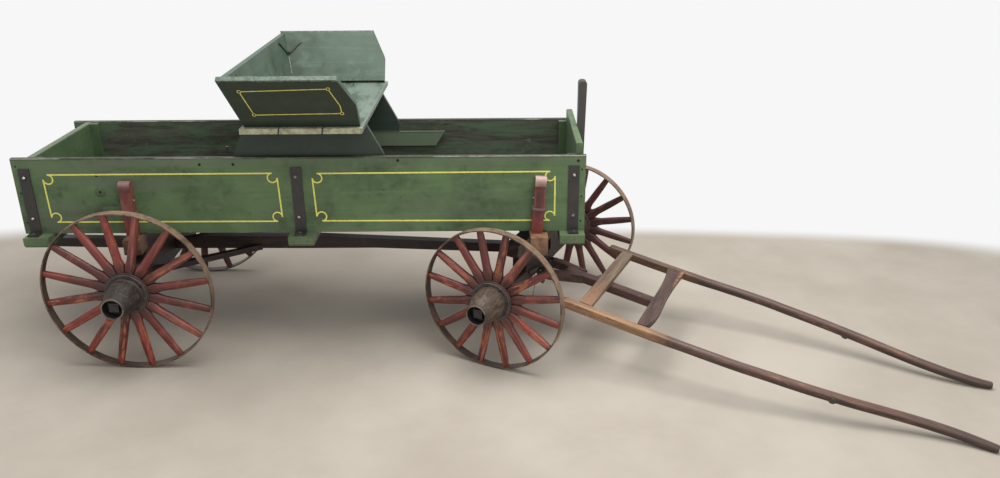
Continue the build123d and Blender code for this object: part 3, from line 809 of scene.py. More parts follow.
def carried(section: np.ndarray, path: np.ndarray, up: Sequence[float],
            share: Union[np.ndarray, float] = 1.0) -> Form:
    """A section carried along a path: point = path + share * (across * u + above * v).

    Args:
        section: Closed outline (u across, v above), one a row.
        path: Points of the path.
        up: A direction that stays above the path.
        share: The section's size at each point of the path.

    Returns:
        Points and faces with both ends closed.
    """
    step = unit(np.gradient(path, axis=0))
    across = unit(np.cross(step, np.array(up, float)))
    above = np.cross(across, step)
    size = np.broadcast_to(share, len(path))[:, None, None]
    points = (path[:, None] + size * (across[:, None] * section[None, :, :1]
              + above[:, None] * section[None, :, 1:])).reshape(-1, 3)
    return points, skin(len(path), len(section))


def squared_round(count: int, power: np.ndarray) -> tuple[np.ndarray, np.ndarray]:
    """A circle that is squared towards corners: cos a and sin a to a power, with their signs kept.

    Args:
        count: Points round.
        power: The power of each ring; 1 keeps the circle and less squares it.

    Returns:
        Both values, a row for each ring.
    """
    c, s = (np.sign(value) * np.abs(value) ** power[:, None] for value in circle(count).T)
    return c, s


def rounded_bar(width: float, height: float, corner: float, steps: int = 3) -> np.ndarray:
    """A rectangle's outline with round corners: corner centre + corner * (cos a, sin a).

    Args:
        width: Across.
        height: Above.
        corner: Radius of the corners.
        steps: Points a corner.

    Returns:
        The outline, counter-clockwise.
    """
    angle = np.linspace(0, math.pi / 2, steps)
    spots = [(1, 1), (-1, 1), (-1, -1), (1, -1)]
    rows = []
    for number, (sx, sy) in enumerate(spots):
        turned = angle + number * math.pi / 2
        centre = np.array([sx * (width / 2 - corner), sy * (height / 2 - corner)])
        rows.append(centre + corner * np.stack([np.cos(turned), np.sin(turned)], -1))
    return np.concatenate(rows)


def facing(normal: Sequence[float], at: Sequence[float]) -> Place:
    """A frame whose z looks along a normal from a point.

    Args:
        normal: The direction that z takes.
        at: Where the frame sits.

    Returns:
        The frame.
    """
    z = unit(np.array(normal, float))
    x = unit(np.cross((0, 0, 1), z) if abs(z[2]) < 0.9 else np.array([1.0, 0, 0]))
    return Place(np.stack([x, np.cross(z, x), z], -1), np.array(at, float))


def dome_profile(radius: float, height: float, foot: float = SUNK) -> list[tuple[float, float]]:
    """A round bolt head's profile: (radius cos t, height sin t) over a short sunk foot.

    Args:
        radius: Of the head.
        height: Of the crown.
        foot: How far it is sunk.

    Returns:
        Radius and height pairs.
    """
    turn = np.linspace(0, math.pi / 2 * 0.96, 6)
    crown = [(radius * math.cos(t), height * math.sin(t)) for t in turn]
    return [(radius, -foot)] + crown


def nut_form(across: float, height: float) -> Form:
    """A square nut as four corners carried up with a small cut at the top.

    Args:
        across: Over the flats.
        height: Of the nut.

    Returns:
        Points and faces.
    """
    corner = np.array([[1, 1], [-1, 1], [-1, -1], [1, -1]], float) * across / 2
    rows = [(1.0, -SUNK), (1.0, height * 0.85), (0.86, height)]
    points = np.concatenate([np.column_stack([corner * share, np.full(4, z)]) for share, z in rows])
    return points, skin(len(rows), len(corner))


def dress(names: Sequence[str], material: bpy.types.Material, nodes: dict) -> None:
    """Gives CAD nodes a material.

    Args:
        names: The nodes' names.
        material: The finish.
        nodes: The frame's nodes.
    """
    for name in names:
        mesh = nodes[name].data
        mesh.materials.clear()
        mesh.materials.append(material)


def brush(bundle: Bundle, run: np.ndarray, width: float, proud: float, face: Place) -> None:
    """Adds one brushed line: a thin flat section carried along its run.

    Args:
        bundle: Where it goes.
        run: Points (ahead, up) of the line.
        width: Its width.
        proud: How far it stands out of the surface.
        face: The surface's frame.
    """
    flat = np.array([[-width / 2, -LINE_SUNK], [width / 2, -LINE_SUNK], [width / 2, proud],
                     [-width / 2, proud]])
    path = np.column_stack([run, np.zeros(len(run))])
    bundle.put(carried(flat, path, (0, 0, 1)), face)


# Sub-assemblies


@dataclass
class Box:
    """The wagon's box: boards, cleats, straps, line post, painted lines and bolts."""

    nodes: dict
    place: Place = field(default_factory=STANCE.box)
    half: float = 0.224
    board: float = 0.016
    rear: float = -0.346
    front: float = 1.374
    floor: float = 0.388
    top: float = 0.629
    iron_proud: float = 0.004
    bolt_r: float = 0.0052
    bolt_h: float = 0.0042
    bolt_lift: float = 0.0012
    bolt_sides: int = 14
    washer_form: tuple = ((0.0092, -SUNK), (0.0092, 0.0009), (0.0086, 0.0014))
    washer_sides: int = 20
    foot_ahead: float = 0.002
    foot_washer: float = 0.024
    foot_washer_h: float = 0.003
    foot_bolt_share: float = 1.3
    foot_bolt_lift: float = 0.0028
    inner_bolts: tuple = ((0.169, 1), (0.700, 1), (0.9, -1))
    inner_bolt_z: float = 0.535
    line_w: float = 0.0044
    line_points: int = 24
    ring_points: int = 26
    ring_sweep: tuple = (48, 312)
    ring_width_share: float = 0.9
    strap_x: tuple = (-0.3125, 0.5015, 1.3385)
    bolt_z: tuple = (0.569, 0.439)
    foot_y: float = 0.243
    panels: tuple = (
        ((-0.2585, 0.5775), (0.4455, 0.5785), (0.4500, 0.4245), (-0.2555, 0.4260)),
        ((0.5510, 0.5770), (1.2815, 0.5790), (1.2820, 0.4225), (0.5560, 0.4250)),
    )
    corner_r: float = 0.0145
    holes: tuple = ((0.218, 0.607), (0.318, 0.607), (0.811, 0.6165), (1.350, 0.612),
                    (-0.0967, 0.5750), (1.350, 0.425))
    nails: tuple = ((-0.334, 0.604), (-0.334, 0.520), (-0.334, 0.425), (1.362, 0.585),
                    (1.362, 0.500), (1.362, 0.420))
    board_washer: tuple = (-0.093, 0.5225)
    hole_form: tuple = ((0.0045, -SUNK), (0.0045, 0.00035), (0.0035, 0.0004))
    nail_form: tuple = ((0.0028, -SUNK), (0.0028, 0.0004), (0.0018, 0.0007))
    eye_form: tuple = ((0.004, -SUNK), (0.004, 0.0017), (0.003, 0.0018))
    ring_form: tuple = ((0.0165, -SUNK), (0.0165, 0.0010), (0.0150, 0.0016))
    hole_sides: int = 12
    ring_sides: int = 28

    def boards(self) -> None:
        """Paints the side boards: green outside, brown inside, and dark along the top."""
        for number, name in enumerate(("side_board_right", "side_board_left")):
            graph, x, y, z = started(f"{name}_paint", self.place)
            ragged = graph.noise((x, y, z), 60.0, 4.0, 0.7)
            paint, rough, height = self.outer_paint(graph, (x, y, z), ragged, number)
            wood, dry, fibres = INSIDE.lay(graph, x, y, z, Grain.ALONG_X, 1.7 + number)
            left = graph.noise((x * 0.3, y, z), 11.0, 5.0, 0.7, 0.5)
            inside = graph.mix(left.rise(0.44, 0.60) * 0.75, wood, tint(82, 106, 80))
            outside = abs(y).rise(self.half - 0.0125, self.half - 0.0105)
            colour = self.top_edge(graph, (x, y, z), ragged, number,
                                   graph.mix(outside, inside, paint))
            rough = rough * outside + dry * (1.0 - outside)
            height = height * outside + fibres * (1.0 - outside)
            dress([name], graph.finish(colour, rough, height), self.nodes)
        self.ends()

    def outer_paint(self, graph: Graph, spot: tuple[Val, Val, Val], ragged: Val,
                    number: int) -> Laid:
        """Works out a side board's outer paint, worn at its edges and faded towards the rear.

        Args:
            graph: The material's tree.
            spot: Drawn x, y and z.
            ragged: Noise that frays the worn edges.
            number: The board's number, which shifts the patterns.

        Returns:
            Colour, roughness and height.
        """
        x, y, z = spot
        frayed = x + (ragged - 0.5) * 0.01
        ends = (frayed.rise(self.rear + 0.007, self.rear + 0.002)
                + frayed.rise(self.front - 0.007, self.front - 0.002))
        low = (z + (ragged - 0.5) * 0.014).rise(self.floor + 0.008, self.floor + 0.001)
        paint, rough, height = GREEN.lay(graph, x, y, z, Grain.ALONG_X, 3.1 * number + 1.3,
                                         ends * 0.5 + low * 0.45)
        sweep = graph.noise((x * 0.22 + number, y, z), 20.0, 4.0, 0.6, 0.4)
        rearward = x.rise(0.55, -0.30)
        band = (z + (sweep - 0.5) * 0.05).rise(0.588, 0.612)
        fade = (sweep.rise(0.48, 0.62) * 0.35 + rearward * sweep.rise(0.42, 0.60) * 0.35
                + band * 0.4)
        return graph.mix(fade.at_most(0.75), paint, FADED_GREEN), rough, height

    def top_edge(self, graph: Graph, spot: tuple[Val, Val, Val], ragged: Val, number: int,
                 colour: Val) -> Val:
        """Darkens a side board's top edge and lights the rubbed parts of its two rims.

        Args:
            graph: The material's tree.
            spot: Drawn x, y and z.
            ragged: Noise that varies the grey.
            number: The board's number, which shifts the patterns.
            colour: The board's colour below.

        Returns:
            The colour with its edge.
        """
        x, y, z = spot
        top, inner = self.top, self.half - self.board
        long_rag = graph.noise((x, y * 4.0, z * 4.0), 14.0, 5.0, 0.7)
        seam = (z + (ragged - 0.5) * 0.003).rise(top - 0.0065, top - 0.0045)
        colour = graph.mix(seam * long_rag.rise(0.38, 0.50) * 0.8, colour, tint(50, 52, 42))
        grey = graph.mix(ragged.rise(0.35, 0.65), tint(38, 38, 30), tint(62, 61, 48))
        colour = graph.mix(z.rise(top - 0.0022, top - 0.0008), colour, grey)
        rim = (abs(y).rise(self.half - 0.0026, self.half - 0.0012)
               + abs(y).rise(inner + 0.0026, inner + 0.0012))
        rim = rim.at_most(1.0) * z.rise(top - 0.0040, top - 0.0028)
        patchy = graph.noise((x, y * 0.0, number + 0.4), 3.4, 3.0, 0.6)
        rim = rim * long_rag.rise(0.38, 0.54) * patchy.rise(0.46, 0.54)
        return graph.mix(rim * 0.8, colour, tint(150, 154, 136))

    def ends(self) -> None:
        """Paints the tail board, front board, floor, battens and cleats."""
        graph, x, y, z = started("end_board_paint", self.place)
        ragged = graph.noise((x, y, z), 60.0, 4.0, 0.7)
        paint, rough, height = GREEN.lay(graph, x, y, z, Grain.ALONG_Y, 5.2)
        top = (z + (ragged - 0.5) * 0.012).rise(self.top - 0.010, self.top - 0.004)
        inner = x.rise(self.rear + 0.010, self.rear + 0.014)
        colour = graph.mix(inner * 0.35, paint, tint(34, 52, 34))
        colour = graph.mix(top * 0.6, colour, tint(116, 122, 102))
        dress(["tail_board", "corner_battens"], graph.finish(colour, rough, height), self.nodes)
        graph, x, y, z = started("front_board_paint", self.place)
        paint, rough, height = GREEN.lay(graph, x, y, z, Grain.ALONG_Y, 8.4)
        wood, _, _ = INSIDE.lay(graph, x, y, z, Grain.ALONG_Y, 2.9)
        inner = x.rise(self.front - 0.016, self.front - 0.021)
        colour = graph.mix(inner * 0.25, paint, wood)
        dress(["front_board"], graph.finish(colour, rough, height), self.nodes)
        graph, x, y, z = started("floor_board_wood", self.place)
        wood, rough, height = INSIDE.lay(graph, x, y, z, Grain.ALONG_X, 6.6)
        dress(["floor_boards"], graph.finish(wood, rough, height), self.nodes)
        graph, x, y, z = started("cleat_paint", self.place)
        paint, rough, height = GREEN.lay(graph, x, y, z, Grain.ALONG_Y, 9.9, 0.4)
        colour = graph.mix(0.35, paint, tint(112, 122, 96))
        dress(["cross_cleats"], graph.finish(colour, rough, height), self.nodes)

    def ironwork(self) -> None:
        """Blackens the straps and post, and adds their bolts on washers."""
        graph, x, y, z = started("strap_iron", self.place)
        colour, rough, height = BLACK_IRON.lay(graph, x, y, z, 2.0)
        colour = graph.mix(0.35, colour, tint(34, 36, 36))
        iron = graph.finish(colour, rough, height, 0.0004, spec=0.5)
        dress(["side_irons_right", "side_irons_left"], iron, self.nodes)
        graph, x, y, z = started("line_post_iron", self.place)
        colour, rough, height = BLACK_IRON.lay(graph, x, y, z, 7.0)
        edge = abs(y).rise(0.010, 0.013)
        colour = graph.mix(0.35, colour, tint(36, 38, 38))
        colour = graph.mix(edge * 0.3, colour, tint(96, 92, 88))
        dress(["line_post"], graph.finish(colour, rough, height, 0.0004, spec=0.5), self.nodes)
        # The bolt heads' pale steel is partly bare metal and partly painted glint.
        graph, x, y, z = started("bolt_steel_and_glint", self.place)
        dull = graph.noise((x, y, z), 90.0, 3.0)
        colour = graph.mix(dull.rise(0.4, 0.6), tint(116, 106, 98), tint(200, 192, 184))
        steel_and_glint = graph.finish(colour, 0.36, metal=0.5, spec=0.5)
        graph, x, y, z = started("washer_iron", self.place)
        colour, rough, _ = OldIron(black=tint(38, 36, 34), rusting=0.8).lay(graph, x, y, z, 5.0)
        self.bolts(steel_and_glint, graph.finish(colour, rough, spec=0.5))

    def bolts(self, steel_and_glint: bpy.types.Material, dark: bpy.types.Material) -> None:
        """Sets bolts on washers in the straps and their feet, and three bolts inside the boards.

        Args:
            steel_and_glint: The bolts' finish.
            dark: The washers' finish.
        """
        bolts, washers = Bundle(), Bundle()
        head = dome_profile(self.bolt_r, self.bolt_h)
        on_washer = [(r, h + self.bolt_lift) for r, h in head]
        on_foot = [(r * self.foot_bolt_share, h + self.foot_bolt_lift) for r, h in head]
        for side in (-1, 1):
            for strap in self.strap_x:
                for height in self.bolt_z:
                    at = facing((0, side, 0), (strap, side * (self.half + self.iron_proud), height))
                    washers.put(revolved(self.washer_form, self.washer_sides), at, self.place)
                    bolts.put(revolved(on_washer, self.bolt_sides), at, self.place)
                at = facing((0, 0, 1), (strap + self.foot_ahead, side * self.foot_y,
                                        self.floor + self.iron_proud))
                washers.put(nut_form(self.foot_washer, self.foot_washer_h), at, self.place)
                washers.put(revolved(on_foot, self.bolt_sides), at, self.place)
        for ahead, side in self.inner_bolts:
            at = facing((0, -side, 0), (ahead, side * (self.half - self.board), self.inner_bolt_z))
            bolts.put(revolved(head, self.bolt_sides), at, self.place)
        bolts.make("strap_bolts", "wagon_body", steel_and_glint, "black_iron")
        washers.make("strap_washers", "wagon_body", dark, "black_iron")

    def lines(self) -> None:
        """Draws the painted lines round two panels a side."""
        graph, x, y, z = started("line_paint", self.place)
        thin = graph.noise((x, y, z), 90.0, 4.0, 0.7)
        colour = graph.mix(thin.rise(0.30, 0.60), tint(228, 220, 104), LINE_YELLOW)
        colour = graph.mix(thin.rise(0.34, 0.26) * 0.7, colour, tint(106, 116, 66))
        paint = graph.finish(colour, 0.45)
        lines = Bundle()
        for side in (-1, 1):
            face = Place(np.array([[1, 0, 0], [0, 0, side], [0, 1, 0]], float),
                         np.array([0, side * self.half, 0], float)).then(self.place)
            for corners in self.panels:
                self.panel_outline(lines, np.array(corners), face)
        lines.make("box_lines", "wagon_body", paint, "box_green", smooth=False)

    def panel_outline(self, bundle: Bundle, corners: np.ndarray, face: Place) -> None:
        """Draws a panel's outline: a straight run a side, and three quarters of a ring a corner.

        A run is corner + share * side, short of each corner by the ring's radius. A ring is
        centre + radius * (cos a, sin a), without the quarter that faces the corner.

        Args:
            bundle: Where it goes.
            corners: Four corners (ahead, up), in order round the panel.
            face: The surface's frame, z out of it.
        """
        middle = corners.mean(axis=0)
        radius = self.corner_r
        for corner, following in zip(corners, np.roll(corners, -1, axis=0)):
            short = unit(following - corner) * radius
            run = straight(corner + short, following - short, self.line_points)
            brush(bundle, run, self.line_w, LINE_PROUD, face)
            inward = np.where(middle > corner, 1.0, -1.0)
            outer = math.atan2(-inward[1], -inward[0])
            angle = outer + np.radians(np.linspace(*self.ring_sweep, self.ring_points))
            ring = corner + inward * radius + radius * np.stack([np.cos(angle), np.sin(angle)], -1)
            brush(bundle, ring, self.line_w * self.ring_width_share, RING_PROUD, face)

    def small_marks(self) -> None:
        """Adds the holes and nail heads in the boards and the round washer near the rear."""
        # The holes and the washer's eye are dark discs, painted shade for their depth; the nail
        # heads share this dark finish as dark iron.
        graph, x, y, z = started("hole_shade_nail_dark", self.place)
        depth = graph.noise((x, y, z), 300.0)
        dark = graph.finish(graph.mix(depth, tint(14, 13, 12), tint(30, 27, 24)), 0.9)
        holes = Bundle()
        for spots, form in ((self.holes, self.hole_form), (self.nails, self.nail_form)):
            for ahead, up in spots:
                at = facing((0, -1, 0), (ahead, -self.half, up))
                holes.put(revolved(form, self.hole_sides), at, self.place)
        ahead, up = self.board_washer
        middle = facing((0, -1, 0), (ahead, -self.half, up))
        holes.put(revolved(self.eye_form, self.hole_sides), middle, self.place)
        holes.make("board_holes", "wagon_body", dark, "box_green")
        graph, x, y, z = started("patch_paint", self.place)
        paint, rough, height = GREEN.lay(graph, x, y, z, Grain.ALONG_X, 1.3, 0.2)
        ring = Bundle()
        ring.put(revolved(self.ring_form, self.ring_sides), middle, self.place)
        colour = graph.mix(0.4, paint, tint(52, 64, 48))
        ring.make("board_washer", "wagon_body", graph.finish(colour, rough, height), "box_green")


@dataclass
class Seat:
    """The seat on its risers, with its corner irons and painted line."""

    nodes: dict
    place: Place = field(default_factory=STANCE.box)
    foot_y: float = 0.297
    foot_z: float = 0.740
    lean: float = 32.3
    slope_len: float = 0.183
    corners: tuple = ((0.4062, 0.1420), (0.6500, 0.1500), (0.6735, 0.0840), (0.6740, 0.0545),
                      (0.4270, 0.0505))
    ring_r: float = 0.0062
    ring_share: float = 0.8
    gap_share: float = 1.1
    line_w: float = 0.0026
    ring_w: float = 0.0020
    line_points: int = 12
    ring_points: int = 22
    plain_corner: int = 2
    board_end: tuple = (0.294, 0.300)
    board_front: tuple = (0.7175, 0.7215)
    back_top: tuple = (0.8900, 0.8935)
    cracks: tuple = (0.4874, 0.6121)
    iron_foot: tuple = (0.3838, 0.3330, 0.8285)
    iron_back: tuple = (0.3705, 0.2545, 0.8870)
    iron_end: tuple = (0.4277, 0.3600, 0.8712)
    iron_section: tuple = (0.0050, 0.0030, 0.0012)
    iron_lift: float = 0.0012
    back_normal: tuple = (0.974, 0.0, 0.227)
    end_normal: tuple = (0.0, -0.845, 0.534)
    hook_from: float = 0.86
    hook_drop: float = 0.006
    foot_bolt: tuple = (0.003, 0.0, 0.010)
    foot_bolt_r: float = 0.0046
    foot_bolt_h: float = 0.0036
    joint_foot: tuple = (0.3975, 0.2985, 0.7720)
    bead_section: tuple = (0.0030, 0.0030, 0.0010)

    def panel(self, side: int) -> Place:
        """A seat end's outer face: x along it, y up the slope and z out of it.

        Args:
            side: -1 for the right end, 1 for the left.

        Returns:
            The frame.
        """
        tilt = math.radians(self.lean)
        up = np.array([0, side * math.sin(tilt), math.cos(tilt)])
        out = np.array([0, side * math.cos(tilt), -math.sin(tilt)])
        ahead = np.array([-side, 0.0, 0.0])
        return Place(np.stack([ahead, up, out], -1),
                     np.array([0, side * self.foot_y, self.foot_z])).then(self.place)

    def paint(self) -> None:
        """Paints the seat's boards: pale grey green inside and on top, with dark green painted
        shade outside.
        """
        self.end_paint()
        self.back_paint()
        self.board_paint()

    def end_paint(self) -> None:
        """Paints the seat's ends: pale inside, dark outside as painted shade, and chalky along the
        top.
        """
        for side, name in ((-1, "seat_end_right"), (1, "seat_end_left")):
            graph, x, y, z = started(f"{name}_paint", self.panel(side))
            paint, rough, height = SEAT_GREEN.lay(graph, x, y, z, Grain.ALONG_X, 4.0 + side)
            ragged = graph.noise((x, y, z), 70.0, 4.0, 0.7)
            # The outer face looks downward; its dark green is painted shade.
            outer = z.rise(-0.004, -0.002)
            dark = graph.mix(ragged.rise(0.3, 0.7), tint(48, 60, 49), tint(56, 68, 56))
            shaded_paint, _, _ = OldPaint(tint(52, 64, 52), tint(44, 54, 45), tint(66, 78, 66),
                                   chips=0.05).lay(graph, x, y, z, Grain.ALONG_X, 9.0 + side)
            colour = graph.mix(outer, paint, graph.mix(0.6, dark, shaded_paint))
            edge = (y + (ragged - 0.5) * 0.009).rise(self.slope_len - 0.006,
                                                     self.slope_len - 0.003)
            chalky = graph.mix(ragged.rise(0.40, 0.60), tint(78, 92, 80), tint(110, 122, 108))
            colour = graph.mix(edge * 0.85, colour, chalky)
            foot = (y + (ragged - 0.5) * 0.010).rise(0.010, 0.003) * (1.0 - outer)
            colour = graph.mix(foot * ragged.rise(0.50, 0.60) * 0.5, colour, tint(110, 112, 90))
            dress([name], graph.finish(colour, rough, height, 0.0004), self.nodes)

    def back_paint(self) -> None:
        """Paints the seat's back with a dark top edge, and its risers and rails dark green."""
        graph, x, y, z = started("seat_back_paint", self.place)
        paint, rough, height = SEAT_GREEN.lay(graph, x, y, z, Grain.ALONG_Y, 6.3)
        ragged = graph.noise((x, y, z), 70.0, 4.0, 0.7)
        low, high = self.back_top
        edge = (z + (ragged - 0.5) * 0.010).rise(low, high)
        colour = graph.mix(edge * 0.8, paint, tint(70, 86, 74))
        dress(["seat_back"], graph.finish(colour, rough, height, 0.0004), self.nodes)
        graph, x, y, z = started("seat_riser_paint", self.place)
        paint, rough, height = SEAT_GREEN.lay(graph, x, y, z, Grain.ALONG_X, 2.2)
        colour = graph.mix(0.82, paint, tint(36, 47, 38))
        far = y.rise(0.0, 0.05) * z.rise(0.60, 0.58)
        colour = graph.mix(far * 0.8, colour, tint(110, 124, 100))
        dress(["seat_riser_right", "seat_riser_left", "seat_rail_right", "seat_rail_left"],
              graph.finish(colour, rough, height, 0.0004), self.nodes)

    def board_paint(self) -> None:
        """Paints the seat board, worn bare at its ends and front, with cracks in from the ends."""
        graph, x, y, z = started("seat_board_paint", self.place)
        worn = graph.noise((x, y, z), 40.0, 5.0, 0.7)
        low, high = self.board_end
        ends = (abs(y) + (worn - 0.5) * 0.01).rise(low, high)
        paint, rough, height = SEAT_GREEN.lay(graph, x, y, z, Grain.ALONG_Y, 7.7, ends * 0.3)
        # Paler patches on the seat board: partly paint rubbed by sitting, partly painted light for
        # the board's lit top.
        sat_and_lit = graph.noise((x, y * 0.3, z), 26.0, 4.0, 0.65)
        paint = graph.mix(sat_and_lit.rise(0.36, 0.58) * 0.7, paint, tint(124, 138, 126))
        bare = graph.mix(worn.rise(0.35, 0.65), tint(150, 146, 116), tint(204, 202, 172))
        bare = graph.mix(worn.rise(0.44, 0.34) * 0.6, bare, tint(150, 108, 78))
        colour = graph.mix(ends * 0.9, paint, bare)
        low, high = self.board_front
        front = (x + (worn - 0.5) * 0.010).rise(low, high)
        colour = graph.mix(front * 0.6, colour, tint(116, 126, 110))
        wiggle = (graph.noise((x * 0.0, y, z), 90.0, 3.0) - 0.5) * 0.022
        for crack in self.cracks:
            line = abs(x - crack + wiggle).rise(0.0030, 0.0014) * abs(y).rise(0.18, 0.26)
            colour = graph.mix(line, colour, tint(34, 32, 28))
            height = height - line * 0.8
        dress(["seat_board"], graph.finish(colour, rough, height, 0.0005), self.nodes)

    def lines(self) -> None:
        """Draws the dull yellow line on the seat ends, with small rings at four of its corners."""
        graph, x, y, z = started("seat_line_paint", self.place)
        thin = graph.noise((x, y, z), 80.0, 4.0, 0.7)
        paint = graph.finish(graph.mix(thin.rise(0.30, 0.62), tint(206, 196, 92), SEAT_LINE), 0.5)
        lines = Bundle()
        for side in (-1, 1):
            face = self.panel(side)
            corners = np.array(self.corners) * np.array([-side, 1])
            for number, corner in enumerate(corners):
                after = (number + 1) % len(corners)
                short = unit(corners[after] - corner) * self.ring_r * self.gap_share
                run = straight(corner + short * (number != self.plain_corner),
                               corners[after] - short * (after != self.plain_corner),
                               self.line_points)
                brush(lines, run, self.line_w, LINE_PROUD, face)
                if number != self.plain_corner:
                    ring = self.ring_r * self.ring_share * circle(self.ring_points, closed=True)
                    brush(lines, corner + ring, self.ring_w, RING_PROUD, face)
        lines.make("seat_lines", "wagon_body", paint, "seat_green", smooth=False)

    def corner_irons(self) -> None:
        """Bends a V-shaped flat iron into each rear corner, with an arm on each board."""
        graph, x, y, z = started("corner_iron", self.place)
        colour, rough, height = BLACK_IRON.lay(graph, x, y, z, 3.6)
        iron = graph.finish(graph.mix(0.5, colour, tint(34, 38, 34)), rough, height, 0.0003)
        irons = Bundle()
        section = rounded_bar(*self.iron_section)
        share = np.linspace(0, 1, 14)[:, None]
        bend = np.clip((share - self.hook_from) / (1 - self.hook_from), 0, 1) ** 2
        hook = np.array([0.0, 0.0, -self.hook_drop]) * bend
        for side in (1, -1):
            flip = np.array([1.0, side, 1.0])
            foot, back, end = (np.array(spot) * flip for spot in
                               (self.iron_foot, self.iron_back, self.iron_end))
            end_up = np.array(self.end_normal) * flip
            for tip, up in ((back, np.array(self.back_normal)), (end, end_up)):
                path = straight(foot, tip, len(share)) + hook + up * self.iron_lift
                irons.put(carried(section, path, up), self.place)
            at = facing(end_up, foot + np.array(self.foot_bolt))
            bolt = dome_profile(self.foot_bolt_r, self.foot_bolt_h)
            irons.put(revolved(bolt, 12), at, self.place)
        irons.make("seat_corner_irons", "wagon_body", iron, "black_iron")
        graph, x, y, z = started("seat_joint_paint", self.place)
        worn = graph.noise((x, y, z), 80.0, 3.0, 0.6)
        colour = graph.mix(worn.rise(0.35, 0.65), tint(84, 100, 88), tint(150, 164, 150))
        paint = graph.finish(colour, 0.6)
        beads = Bundle()
        for side in (1, -1):
            flip = np.array([1.0, side, 1.0])
            path = straight(self.iron_foot, self.joint_foot, 12) * flip
            beads.put(carried(rounded_bar(*self.bead_section), path, (1, 0, 0)), self.place)
        beads.make("seat_joint_beads", "wagon_body", paint, "seat_green")


